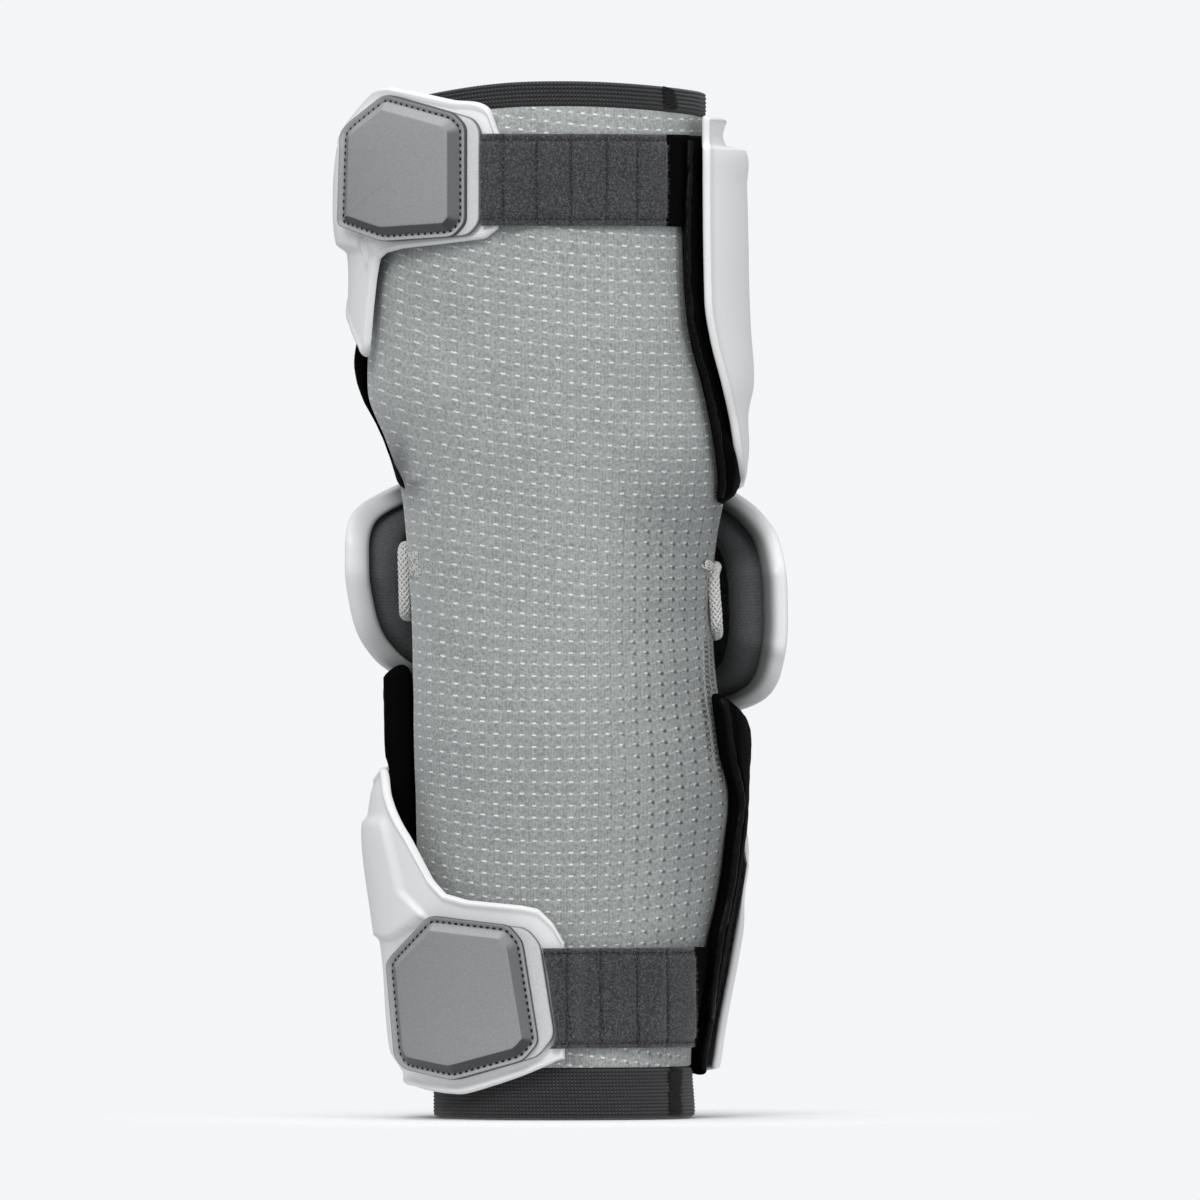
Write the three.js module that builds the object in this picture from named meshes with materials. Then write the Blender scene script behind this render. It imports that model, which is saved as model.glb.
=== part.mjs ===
// An arm pad for the right arm, as worn: a knitted sleeve with foam pads, two moulded shells,
// a floating elbow cap, two straps with fastening tabs and two short lace loops.
// Millimetres. The arm runs along +Z, shoulder end up, and the elbow is at the origin.
// -Y is the open front with the straps, +Y the hard outer side, +X the right of the front view.
import * as THREE from "three";

// Sleeve
const UPPER_LENGTH = 172; // elbow to the shoulder end
const LOWER_LENGTH = 172; // elbow to the wrist end
const SLEEVE_HALF_WIDTH = 52;
const SLEEVE_HALF_DEPTH = 45;
const SLEEVE_WALL = 1.6;
const SQUARENESS = 2.2; // exponent of the cross sections, 2 is an ellipse
const GAP = 0.35; // clearance between neighbouring pieces
const SEAT = 0.7; // clearance where two curved faces lie on each other
const PAD_SEAT = 1; // the same at the foam pads, which are larger
const TAB_SEAT = 1.3; // the same under the tabs

// Elastic cuffs
const TOP_CUFF_HEIGHT = 8;
const BOTTOM_CUFF_HEIGHT = 16.5;
const CUFF_WALL = 2.4;
const CUFF_CROWN = 3; // how much lower the top cuff is at its sides

// Shells and the foam behind them
const SHELL_THICKNESS = 2.6;
const UPPER_STANDOFF = 14; // outside of the shell over the sleeve
const FOREARM_STANDOFF = 14;
const UPPER_WING_LIFT = 3.6; // outside of the wing's end over the sleeve
const FOREARM_WING_LIFT = 6;
const UPPER_EDGE_LIFT = 9; // outside of the shell's right edge over the sleeve
const FOREARM_EDGE_LIFT = 13;
const UPPER_PAD_EDGE_THICKNESS = 5;
const FOREARM_PAD_EDGE_THICKNESS = 9.5;
const PAD_FILL = 0.9; // share of the room under a shell that its pad takes up
const PAD_EDGE_ROUNDING = 0.1; // share of the pad over which its edge thins

// Elbow cap and liner
const CAP_HALF_WIDTH = 73.5;
const CAP_HALF_HEIGHT = 46;
const CAP_SQUARENESS = 2.5;
const CAP_TILT = 3.2; // degrees, left side up
const CAP_CENTRE_HEIGHT = 3.2;
const CAP_WALL = 3.2;
const CAP_MOUTH_AT_SIDES = 2; // how far back the rim lies
const CAP_MOUTH_AT_MIDDLE = 51.5;
const CAP_MOUTH_CURVE = 0.66;
const CAP_LIP_WIDTH = 8;
const CAP_LIP_DEPTH = 5;
const LINER_THICKNESS = 6.5;
const CAP_CLEARANCE = 2.2; // from the cap's rim to the pads

// Straps, tabs and laces
const UPPER_STRAP_WIDTH = 30.6;
const UPPER_STRAP_DROP = 32.8; // from the shoulder end down to the strap's middle
const LOWER_STRAP_WIDTH = 33.4;
const LOWER_STRAP_RISE = 40; // from the wrist end up to the strap's middle
const STRAP_THICKNESS = 2.4;
const STRAP_END = 33; // where the fuzzy stretch of both straps meets its anchor
const LOWER_STRAP_START = -8; // tucked under the wing
const TAB_WIDTH = 46;
const TAB_HEIGHT = 49;
const TAB_THICKNESS = 3.4;
const TAB_PANEL_THICKNESS = 0.9;
const TAB_PANEL_SHARE = 0.8;
const UPPER_TAB_EDGE = 0.48;
const UPPER_TAB_ACROSS = 51; // from the arm's axis to the left
const LOWER_TAB_ACROSS = 31;
const UPPER_TAB_RAISE = 4.1; // middle of the tab over the middle of its strap
const LOWER_TAB_RAISE = -0.5;
const PANEL_SEAT = 0.5; // clearance between a tab and its panel
const LACE_DIAMETER = 2.7;

// Cross sections of the sleeve. rise is a share of the upper or lower length,
// left and right are shares of the half width, front and back of the half depth.
const SLEEVE_SECTIONS = [
  { rise: -1.0, left: 0.84, right: 0.83, front: 0.84, back: 0.82 },
  { rise: -0.87, left: 0.85, right: 0.81, front: 0.86, back: 0.84 },
  { rise: -0.7, left: 0.9, right: 0.91, front: 0.9, back: 0.88 },
  { rise: -0.58, left: 0.93, right: 0.98, front: 0.93, back: 0.92 },
  { rise: -0.48, left: 0.95, right: 1.03, front: 0.96, back: 0.95 },
  { rise: -0.38, left: 0.96, right: 1.06, front: 0.98, back: 0.98 },
  { rise: -0.28, left: 0.97, right: 1.03, front: 0.98, back: 1.03 },
  { rise: -0.14, left: 0.98, right: 0.96, front: 0.96, back: 1.16 },
  { rise: 0.0, left: 0.99, right: 0.94, front: 0.95, back: 1.22 },
  { rise: 0.12, left: 1.02, right: 0.97, front: 0.96, back: 1.18 },
  { rise: 0.22, left: 1.06, right: 1.03, front: 0.99, back: 1.08 },
  { rise: 0.31, left: 1.15, right: 1.04, front: 1.02, back: 1.04 },
  { rise: 0.4, left: 1.26, right: 0.99, front: 1.05, back: 1.02 },
  { rise: 0.58, left: 1.24, right: 0.93, front: 1.07, back: 1.0 },
  { rise: 0.75, left: 1.2, right: 0.91, front: 1.04, back: 1.0 },
  { rise: 0.9, left: 1.13, right: 0.9, front: 0.99, back: 0.98 },
  { rise: 1.0, left: 1.06, right: 0.9, front: 0.95, back: 0.95 },
];

// Outside of the upper shell over the sleeve, as shares of UPPER_STANDOFF.
const UPPER_LIFTS = [
  { rise: 0.2, left: 0.22, back: 0.62, right: 0.38 },
  { rise: 0.27, left: 0.3, back: 0.8, right: 0.5 },
  { rise: 0.35, left: 0.36, back: 0.88, right: 0.58 },
  { rise: 0.42, left: 0.42, back: 0.92, right: 0.86 },
  { rise: 0.53, left: 0.55, back: 0.96, right: 0.93 },
  { rise: 0.665, left: 0.62, back: 1.0, right: 0.98 },
  { rise: 0.7, left: 1.0, back: 1.02, right: 0.98 },
  { rise: 0.87, left: 1.2, back: 1.0, right: 0.94 },
  { rise: 0.91, left: 1.18, back: 0.94, right: 0.62 },
  { rise: 1.0, left: 1.0, back: 0.8, right: 0.5 },
];

// Outside of the forearm shell over the sleeve, as shares of FOREARM_STANDOFF.
const FOREARM_LIFTS = [
  { rise: -1.0, left: 0.66, back: 0.8, right: 0.55 },
  { rise: -0.92, left: 0.72, back: 0.86, right: 0.66 },
  { rise: -0.87, left: 1.03, back: 0.92, right: 0.76 },
  { rise: -0.7, left: 1.02, back: 1.0, right: 0.76 },
  { rise: -0.62, left: 1.08, back: 1.02, right: 0.76 },
  { rise: -0.46, left: 1.2, back: 1.04, right: 0.76 },
  { rise: -0.38, left: 1.08, back: 1.0, right: 0.76 },
  { rise: -0.33, left: 0.92, back: 0.95, right: 0.82 },
  { rise: -0.28, left: 1.12, back: 0.9, right: 0.95 },
  { rise: -0.2, left: 1.1, back: 0.85, right: 1.0 },
];

// Lower and upper limits of the upper shell on its way round. round is in degrees from the
// front over the left side and the back, bottom and top are shares of UPPER_LENGTH.
const UPPER_SHELL_LIMITS = [
  { round: 25, bottom: 0.715, top: 0.895 },
  { round: 31, bottom: 0.7, top: 0.95 },
  { round: 45, bottom: 0.69, top: 0.97 },
  { round: 57, bottom: 0.68, top: 0.99 },
  { round: 63, bottom: 0.63, top: 0.985 },
  { round: 68, bottom: 0.51, top: 0.975 },
  { round: 74, bottom: 0.455, top: 0.955 },
  { round: 82, bottom: 0.475, top: 0.925 },
  { round: 90, bottom: 0.515, top: 0.9 },
  { round: 110, bottom: 0.49, top: 0.9 },
  { round: 130, bottom: 0.4, top: 0.92 },
  { round: 155, bottom: 0.33, top: 0.94 },
  { round: 180, bottom: 0.31, top: 0.95 },
  { round: 210, bottom: 0.31, top: 0.95 },
  { round: 240, bottom: 0.29, top: 0.94 },
  { round: 262, bottom: 0.25, top: 0.92 },
  { round: 302, bottom: 0.215, top: 0.88 },
];
// Where the right edge of the upper shell lies, as shares of the sleeve's half width.
const UPPER_SHELL_EDGE = [
  { rise: 0.2, across: 1.15 },
  { rise: 0.33, across: 1.1 },
  { rise: 0.41, across: 1.04 },
  { rise: 0.5, across: 0.96 },
  { rise: 0.58, across: 0.92 },
  { rise: 1.0, across: 0.91 },
];

// The same for the forearm shell, as shares of LOWER_LENGTH.
const FOREARM_SHELL_LIMITS = [
  { round: 0, bottom: -0.885, top: -0.66 },
  { round: 9, bottom: -0.9, top: -0.6 },
  { round: 19, bottom: -0.918, top: -0.589 },
  { round: 34, bottom: -0.94, top: -0.58 },
  { round: 45, bottom: -0.953, top: -0.57 },
  { round: 52, bottom: -0.953, top: -0.53 },
  { round: 60, bottom: -0.95, top: -0.47 },
  { round: 68, bottom: -0.945, top: -0.42 },
  { round: 76, bottom: -0.94, top: -0.38 },
  { round: 84, bottom: -0.94, top: -0.33 },
  { round: 100, bottom: -0.935, top: -0.31 },
  { round: 130, bottom: -0.93, top: -0.3 },
  { round: 180, bottom: -0.925, top: -0.3 },
  { round: 220, bottom: -0.92, top: -0.33 },
  { round: 245, bottom: -0.915, top: -0.42 },
  { round: 263, bottom: -0.91, top: -0.51 },
];

// Edges of the foam pads. start is in degrees round, across is the near right edge as a
// share of the sleeve's half width.
const UPPER_PAD_EDGES = [
  { rise: 0.2, start: 94, across: 1.0 },
  { rise: 0.35, start: 92, across: 0.96 },
  { rise: 0.42, start: 90, across: 0.89 },
  { rise: 0.5, start: 86, across: 0.82 },
  { rise: 0.58, start: 80, across: 0.785 },
  { rise: 0.7, start: 72, across: 0.77 },
  { rise: 0.95, start: 66, across: 0.79 },
];
const FOREARM_PAD_EDGES = [
  { rise: -0.95, start: 86, across: 0.73 },
  { rise: -0.87, start: 86, across: 0.77 },
  { rise: -0.66, start: 86, across: 0.875 },
  { rise: -0.58, start: 86, across: 0.945 },
  { rise: -0.47, start: 85, across: 0.995 },
  { rise: -0.38, start: 85, across: 1.02 },
  { rise: -0.29, start: 86, across: 0.96 },
  { rise: -0.1, start: 88, across: 0.9 },
];
const UPPER_PAD_TOP = 0.915;
const FOREARM_PAD_BOTTOM = -0.92;

// Outlines of the tabs, from the side that faces the strap, as shares of the tab's size.
const UPPER_TAB_RIBS = [
  { across: -0.51, bottom: -0.41, top: 0.33 },
  { across: -0.32, bottom: -0.46, top: 0.44 },
  { across: -0.1, bottom: -0.5, top: 0.49 },
  { across: 0.15, bottom: -0.475, top: 0.43 },
  { across: 0.33, bottom: -0.455, top: 0.36 },
  { across: UPPER_TAB_EDGE, bottom: -0.44, top: 0.33 },
];
const LOWER_TAB_RIBS = [
  { across: -0.57, bottom: -0.39, top: 0.25 },
  { across: -0.34, bottom: -0.47, top: 0.5 },
  { across: -0.12, bottom: -0.53, top: 0.55 },
  { across: 0.18, bottom: -0.48, top: 0.51 },
  { across: 0.36, bottom: -0.41, top: 0.49 },
  { across: 0.55, bottom: -0.34, top: 0.36 },
];

// Routes of the laces on the sleeve, in degrees round and millimetres of height.
const LEFT_LACE_ROUTE = [
  { round: 112, height: 21 },
  { round: 99, height: 19.5 },
  { round: 90, height: 15 },
  { round: 88, height: 7 },
  { round: 90, height: -1.5 },
  { round: 99, height: -6 },
  { round: 112, height: -7.5 },
];
const RIGHT_LACE_ROUTE = [
  { round: 248, height: 15 },
  { round: 262, height: 13 },
  { round: 274, height: 9 },
  { round: 278, height: 0 },
  { round: 275, height: -9 },
  { round: 263, height: -13 },
  { round: 248, height: -15 },
];

// Middles of the straps and tabs
const UPPER_STRAP_MIDDLE = UPPER_LENGTH - UPPER_STRAP_DROP;
const LOWER_STRAP_MIDDLE = LOWER_STRAP_RISE - LOWER_LENGTH;
const UPPER_TAB_PLACE = { across: -UPPER_TAB_ACROSS, height: UPPER_STRAP_MIDDLE + UPPER_TAB_RAISE };
const LOWER_TAB_PLACE = { across: -LOWER_TAB_ACROSS, height: LOWER_STRAP_MIDDLE + LOWER_TAB_RAISE };

// Angles round the arm, in degrees from the front over the left side and the back
const LEFT_SIDE = 90;
const BACK = 180;
const RIGHT_SIDE = 270;
const FULL_TURN = 360;
const EDGE_RAMP = 45; // over which a shell comes down from its right side to its edge
const SHELL_COLUMNS_END = 262; // from here the upper shell's columns spread to its edge
const RIGHT_FRONT = [272, 330]; // where right edges are looked for
const FRONT = [75, -75];
const TAB_FRONT = [90, -20];
const PAD_SPAN = [92, 285];
const UPPER_WING_END = 36;
const FOREARM_WING_END = 30;
const STRAP_STEP = [12, 24]; // where the upper strap climbs on to the wing
const STRAP_LEVEL = 20;

// Steps of the faceted faces
const SLEEVE_SIDES = 36;
const SLEEVE_ROWS = 22;
const CAP_SIDES = 28;
const DOME_REACH = 0.92; // share of the dome's quarter turn that its rows take
const LACE_SIDES = 8;
const LACE_STEPS = 16;

// Colours
const MESH_GREY = 0x969c9a;
const ELASTIC_GREY = 0x38393b;
const SOFT_BLACK = 0x1b1c1e;
const SHELL_WHITE = 0xe9eaec;
const LINER_GREY = 0x3c3d40;
const STRAP_GREY = 0x4b4c4f;
const TAB_GREY = 0x5c5d61;
const PANEL_GREY = 0x939496;
const CORD_WHITE = 0xdcdcd8;

// Smooth value of one column of a table at a place along its first column.
function along(rows, key, place, value) {
  const last = rows.length - 1;
  if (value <= rows[0][place]) return rows[0][key];
  if (value >= rows[last][place]) return rows[last][key];
  let i = 0;
  while (rows[i + 1][place] < value) i += 1;
  const slope = (j) => {
    if (j === 0 || j === last) return 0;
    return (rows[j + 1][key] - rows[j - 1][key]) / (rows[j + 1][place] - rows[j - 1][place]);
  };
  const span = rows[i + 1][place] - rows[i][place];
  const t = (value - rows[i][place]) / span;
  const rise = t * t * (3 - 2 * t);
  const bend = t * (1 - t) * (1 - t) * slope(i) - t * t * (1 - t) * slope(i + 1);
  return rows[i][key] + (rows[i + 1][key] - rows[i][key]) * rise + bend * span;
}

const heightOf = (rise) => rise * (rise > 0 ? UPPER_LENGTH : LOWER_LENGTH);
const riseOf = (height) => height / (height > 0 ? UPPER_LENGTH : LOWER_LENGTH);
const radians = THREE.MathUtils.degToRad;
const mix = THREE.MathUtils.lerp;
const ease = (t) => THREE.MathUtils.smoothstep(t, 0, 1);

// Distance from the arm's axis to the outside of the sleeve.
function sleeveRadius(round, height) {
  const rise = riseOf(height);
  const across = Math.sin(radians(round));
  const ahead = Math.cos(radians(round));
  const side = across > 0 ? "left" : "right";
  const face = ahead > 0 ? "front" : "back";
  const width = SLEEVE_HALF_WIDTH * along(SLEEVE_SECTIONS, side, "rise", rise);
  const depth = SLEEVE_HALF_DEPTH * along(SLEEVE_SECTIONS, face, "rise", rise);
  const sum = Math.abs(across / width) ** SQUARENESS + Math.abs(ahead / depth) ** SQUARENESS;
  return sum ** (-1 / SQUARENESS);
}

// Point at an angle round the arm, a height and a distance over the sleeve.
function wrapped(round, height, lift) {
  const radius = sleeveRadius(round, height) + lift;
  const angle = radians(round);
  return new THREE.Vector3(-radius * Math.sin(angle), -radius * Math.cos(angle), height);
}

// Distance from the sleeve to the outside of a shell. The wing's end is at the front.
function shellLift(shell, round, height) {
  const rise = riseOf(height);
  const lift = (key) => shell.standoff * along(shell.lifts, key, "rise", rise);
  const quarter = RIGHT_SIDE - BACK;
  if (round < LEFT_SIDE) {
    const t = (round - shell.wingEnd) / (LEFT_SIDE - shell.wingEnd);
    return mix(shell.wingLift, lift("left"), ease(t));
  }
  if (round < BACK) return mix(lift("left"), lift("back"), ease((round - LEFT_SIDE) / quarter));
  if (round < RIGHT_SIDE) return mix(lift("back"), lift("right"), ease((round - BACK) / quarter));
  return mix(lift("right"), shell.edgeLift, ease((round - RIGHT_SIDE) / EDGE_RAMP));
}

const UPPER = {
  standoff: UPPER_STANDOFF,
  lifts: UPPER_LIFTS,
  wingEnd: UPPER_WING_END,
  wingLift: UPPER_WING_LIFT,
  edgeLift: UPPER_EDGE_LIFT,
  padEdge: UPPER_PAD_EDGE_THICKNESS,
};
const FOREARM = {
  standoff: FOREARM_STANDOFF,
  lifts: FOREARM_LIFTS,
  wingEnd: FOREARM_WING_END,
  wingLift: FOREARM_WING_LIFT,
  edgeLift: FOREARM_EDGE_LIFT,
  padEdge: FOREARM_PAD_EDGE_THICKNESS,
};

// Angle between two limits at which a surface reaches a place across the front view.
function roundAt(across, height, lift, [from, to]) {
  let low = from;
  let high = to;
  const rising = wrapped(to, height, lift(to, height)).x > wrapped(from, height, lift(from, height)).x;
  for (let i = 0; i < 30; i += 1) {
    const middle = (low + high) / 2;
    const x = wrapped(middle, height, lift(middle, height)).x;
    if (x < across === rising) low = middle;
    else high = middle;
  }
  return (low + high) / 2;
}

// Turns a geometry's faces outwards.
function facingOut(geometry) {
  const solid = geometry.index ? geometry.toNonIndexed() : geometry;
  solid.deleteAttribute("normal");
  solid.deleteAttribute("uv");
  const place = solid.attributes.position;
  const corner = [0, 1, 2].map(() => new THREE.Vector3());
  let volume = 0;
  for (let i = 0; i < place.count; i += 3) {
    corner.forEach((c, j) => c.fromBufferAttribute(place, i + j));
    volume += corner[0].dot(corner[1].cross(corner[2]));
  }
  if (volume < 0) {
    for (let i = 0; i < place.count; i += 3) {
      corner[1].fromBufferAttribute(place, i + 1);
      corner[2].fromBufferAttribute(place, i + 2);
      place.setXYZ(i + 1, corner[2].x, corner[2].y, corner[2].z);
      place.setXYZ(i + 2, corner[1].x, corner[1].y, corner[1].z);
    }
  }
  return solid;
}

// Moves every vertex of a geometry by a function.
function reshaped(geometry, move) {
  const place = geometry.attributes.position;
  const vertex = new THREE.Vector3();
  for (let i = 0; i < place.count; i += 1) {
    vertex.fromBufferAttribute(place, i);
    const moved = move(vertex);
    place.setXYZ(i, moved.x, moved.y, moved.z);
  }
  return facingOut(geometry);
}

// A plate bent by a function of its two directions and its depth, all from 0 to 1.
function bentPlate(columns, rows, layers, point) {
  const plate = new THREE.BoxGeometry(1, 1, 1, columns, rows, layers);
  return reshaped(plate, (v) => point(v.x + 0.5, v.y + 0.5, v.z + 0.5));
}

// A closed band round the arm between two heights, with heights by angle.
function band(bottom, top, rows, wall) {
  const profile = [];
  for (let i = 0; i <= rows; i += 1) profile.push(new THREE.Vector2(2, i / rows));
  for (let i = rows; i >= 0; i -= 1) profile.push(new THREE.Vector2(1, i / rows));
  profile.push(new THREE.Vector2(2, 0));
  const ring = new THREE.LatheGeometry(profile, SLEEVE_SIDES);
  return reshaped(ring, (v) => {
    const round = THREE.MathUtils.radToDeg(Math.atan2(v.x, v.z));
    const side = Math.hypot(v.x, v.z) - 2;
    return wrapped(round, mix(bottom, top(round), v.y), side * wall);
  });
}

function sleeve() {
  const top = UPPER_LENGTH - TOP_CUFF_HEIGHT - GAP;
  const bottom = BOTTOM_CUFF_HEIGHT - LOWER_LENGTH + GAP;
  return band(bottom, () => top, SLEEVE_ROWS, SLEEVE_WALL);
}

function topCuff() {
  const crown = (round) => UPPER_LENGTH - CUFF_CROWN * Math.sin(radians(round)) ** 2;
  return band(UPPER_LENGTH - TOP_CUFF_HEIGHT, crown, 1, CUFF_WALL);
}

function bottomCuff() {
  return band(-LOWER_LENGTH, () => BOTTOM_CUFF_HEIGHT - LOWER_LENGTH, 2, CUFF_WALL);
}

// A shell from its wing's end at the front to its edge at the right.
function shell(form, limits, edge, columns, rows) {
  const first = limits[0].round;
  const last = limits[limits.length - 1].round;
  const lift = (round, height) => shellLift(form, round, height);
  return bentPlate(columns, rows, 1, (u, v, w) => {
    const nominal = mix(first, last, u);
    const limit = (key) => heightOf(along(limits, key, "round", nominal));
    const height = mix(limit("bottom"), limit("top"), v);
    const end = edge(height, lift);
    const spread = Math.max(0, (nominal - SHELL_COLUMNS_END) / (last - SHELL_COLUMNS_END));
    const round = mix(Math.min(nominal, SHELL_COLUMNS_END), end, spread);
    return wrapped(round, height, lift(round, height) - SHELL_THICKNESS * (1 - w));
  });
}

function upperArmShell() {
  const edge = (height, lift) => {
    const across = SLEEVE_HALF_WIDTH * along(UPPER_SHELL_EDGE, "across", "rise", riseOf(height));
    return roundAt(across, height, lift, RIGHT_FRONT);
  };
  return shell(UPPER, UPPER_SHELL_LIMITS, edge, 30, 9);
}

function forearmShell() {
  const last = FOREARM_SHELL_LIMITS[FOREARM_SHELL_LIMITS.length - 1].round;
  return shell(FOREARM, FOREARM_SHELL_LIMITS, () => last, 28, 9);
}

// Height of the cap's rim at a place across the front view, above or below the elbow.
function capRimHeight(across, above) {
  const share = Math.min(Math.abs(across) / CAP_HALF_WIDTH, 1);
  const half = CAP_HALF_HEIGHT * (1 - share ** CAP_SQUARENESS) ** (1 / CAP_SQUARENESS);
  const tilt = -across * Math.tan(radians(CAP_TILT));
  return CAP_CENTRE_HEIGHT + tilt + (above ? half : -half);
}

// A foam pad between the sleeve and a shell, thinner towards its free edges.
function pad(form, edges, columns, rows, far, above) {
  const inner = (round, height) => {
    return PAD_FILL * (shellLift(form, round, height) - SHELL_THICKNESS) - PAD_SEAT;
  };
  return bentPlate(columns, rows, 1, (u, v, w) => {
    const guess = mix(PAD_SPAN[0], PAD_SPAN[1], u);
    const near = wrapped(guess, above ? CAP_HALF_HEIGHT : -CAP_HALF_HEIGHT, 0);
    const rim = capRimHeight(near.x, above) + (above ? CAP_CLEARANCE : -CAP_CLEARANCE);
    const height = above ? mix(rim, heightOf(far), v) : mix(heightOf(far), rim, v);
    const rise = riseOf(height);
    const start = along(edges, "start", "rise", rise);
    const across = SLEEVE_HALF_WIDTH * along(edges, "across", "rise", rise);
    const end = roundAt(across, height, () => 0, RIGHT_FRONT);
    const round = mix(start, end, u);
    const inwards = Math.min(u, 1 - u) / PAD_EDGE_ROUNDING;
    const full = inner(round, height);
    const thin = Math.min(form.padEdge, full);
    const lift = mix(thin, full, ease(inwards));
    return wrapped(round, height, mix(PAD_SEAT, lift, w));
  });
}

// Point of the cap: turn is the angle round its mouth in radians, share is the distance
// from its middle towards the rim, and back the depth from the rim to the apex.
function capPoint(turn, share, back, apex) {
  const power = 2 / CAP_SQUARENESS;
  const x = Math.sign(Math.cos(turn)) * Math.abs(Math.cos(turn)) ** power;
  const z = Math.sign(Math.sin(turn)) * Math.abs(Math.sin(turn)) ** power;
  const mouth = mix(CAP_MOUTH_AT_SIDES, CAP_MOUTH_AT_MIDDLE, Math.max(0, 1 - x * x) ** CAP_MOUTH_CURVE);
  const tilt = radians(CAP_TILT);
  const across = share * x * CAP_HALF_WIDTH;
  const up = share * z * CAP_HALF_HEIGHT;
  return new THREE.Vector3(
    across * Math.cos(tilt) + up * Math.sin(tilt),
    mix(mouth, apex, back),
    CAP_CENTRE_HEIGHT + up * Math.cos(tilt) - across * Math.sin(tilt),
  );
}

const domeDepth = (share) => (1 - share ** CAP_SQUARENESS) ** (1 / CAP_SQUARENESS);
const LINER_FACE = SLEEVE_HALF_DEPTH * along(SLEEVE_SECTIONS, "back", "rise", 0) + SEAT;
const LINER_BACK = LINER_FACE + LINER_THICKNESS;
const CAP_INSIDE = LINER_BACK + SEAT;
const CAP_APEX = CAP_INSIDE + CAP_WALL;
const LIP_BACK = CAP_LIP_DEPTH / (CAP_APEX - CAP_MOUTH_AT_SIDES);

// A bowl turned from a profile of rows, each with a share of the width, a depth towards the
// apex and the apex that it is measured to.
function bowl(profile) {
  const points = profile.map((row, i) => new THREE.Vector2(row.share, i));
  const turned = new THREE.LatheGeometry(points, CAP_SIDES);
  return reshaped(turned, (v) => {
    const row = profile[Math.round(v.y)];
    return capPoint(Math.atan2(v.z, v.x), row.share, row.back, row.apex);
  });
}

// Rows of a dome from its middle to its mouth, at an inset from the outside of the cap.
function domeRows(inset, apex, mouth, count) {
  const narrower = 1 - inset / CAP_HALF_WIDTH;
  const rows = [];
  for (let i = 0; i < count; i += 1) {
    const step = Math.sin(((i / (count - 1)) * DOME_REACH * Math.PI) / 2);
    rows.push({ share: step * narrower, back: domeDepth(step), apex });
  }
  rows.push({ share: narrower, back: mouth, apex: CAP_APEX });
  return rows;
}

function elbowCap() {
  const lipShare = 1 - CAP_LIP_WIDTH / CAP_HALF_WIDTH;
  const rows = [
    ...domeRows(0, CAP_APEX, LIP_BACK * 0.5, 7),
    { share: (1 + lipShare) / 2, back: -LIP_BACK * 0.2, apex: CAP_APEX },
    { share: lipShare, back: LIP_BACK * 0.4, apex: CAP_APEX },
    { share: lipShare, back: LIP_BACK, apex: CAP_APEX },
    ...domeRows(CAP_WALL, CAP_INSIDE, LIP_BACK * 1.1, 6).reverse(),
  ];
  return bowl(rows);
}

function elbowLiner() {
  const outside = domeRows(CAP_WALL + SEAT, LINER_BACK, LIP_BACK * 1.5, 6);
  const inside = domeRows(CAP_WALL + SEAT + LINER_THICKNESS, LINER_FACE, LIP_BACK * 1.7, 6);
  return bowl([...outside, ...inside.reverse()]);
}

// Distance from the sleeve to the underside of the upper strap, which steps down from the wing.
function upperStrapLift(round, height) {
  const onWing = shellLift(UPPER, Math.max(round, STRAP_LEVEL), height) + SEAT;
  return mix(SEAT, onWing, THREE.MathUtils.smoothstep(round, STRAP_STEP[0], STRAP_STEP[1]));
}

function frontStrap(from, to, middle, width, lift, columns) {
  return bentPlate(columns, 3, 1, (u, v, w) => {
    const height = middle + width * (v - 0.5);
    const across = mix(from, to(height), u);
    const round = roundAt(across, height, lift, FRONT);
    return wrapped(round, height, lift(round, height) + STRAP_THICKNESS * w);
  });
}

const onSleeve = () => SEAT;

// Place across the front view where a pad's near edge meets the sleeve.
function padEdge(edges, height) {
  return SLEEVE_HALF_WIDTH * along(edges, "across", "rise", riseOf(height));
}

function upperStrap() {
  const end = () => STRAP_END - GAP;
  const start = UPPER_TAB_PLACE.across + UPPER_TAB_EDGE * TAB_WIDTH + GAP;
  return frontStrap(start, end, UPPER_STRAP_MIDDLE, UPPER_STRAP_WIDTH, upperStrapLift, 12);
}

function upperStrapAnchor() {
  const end = (height) => padEdge(UPPER_PAD_EDGES, height) - SEAT;
  return frontStrap(STRAP_END, end, UPPER_STRAP_MIDDLE, UPPER_STRAP_WIDTH, onSleeve, 4);
}

function lowerStrap() {
  const end = () => STRAP_END - GAP;
  return frontStrap(LOWER_STRAP_START, end, LOWER_STRAP_MIDDLE, LOWER_STRAP_WIDTH, onSleeve, 9);
}

function lowerStrapAnchor() {
  const end = (height) => padEdge(FOREARM_PAD_EDGES, height) - SEAT;
  return frontStrap(STRAP_END, end, LOWER_STRAP_MIDDLE, LOWER_STRAP_WIDTH, onSleeve, 4);
}

// A tab or its panel, bent over the wing that it is fastened to.
function tab(form, place, ribs, size, inner, outer) {
  const lift = (round, height) => shellLift(form, round, height);
  const first = ribs[0].across;
  const last = ribs[ribs.length - 1].across;
  return bentPlate(8, 6, 1, (u, v, w) => {
    const share = mix(first, last, u);
    const edge = (key) => TAB_HEIGHT * along(ribs, key, "across", share);
    const height = place.height + size * mix(edge("bottom"), edge("top"), v);
    const across = place.across + size * TAB_WIDTH * share;
    const round = roundAt(across, height, lift, TAB_FRONT);
    return wrapped(round, height, lift(round, height) + mix(inner, outer, w));
  });
}

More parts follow.
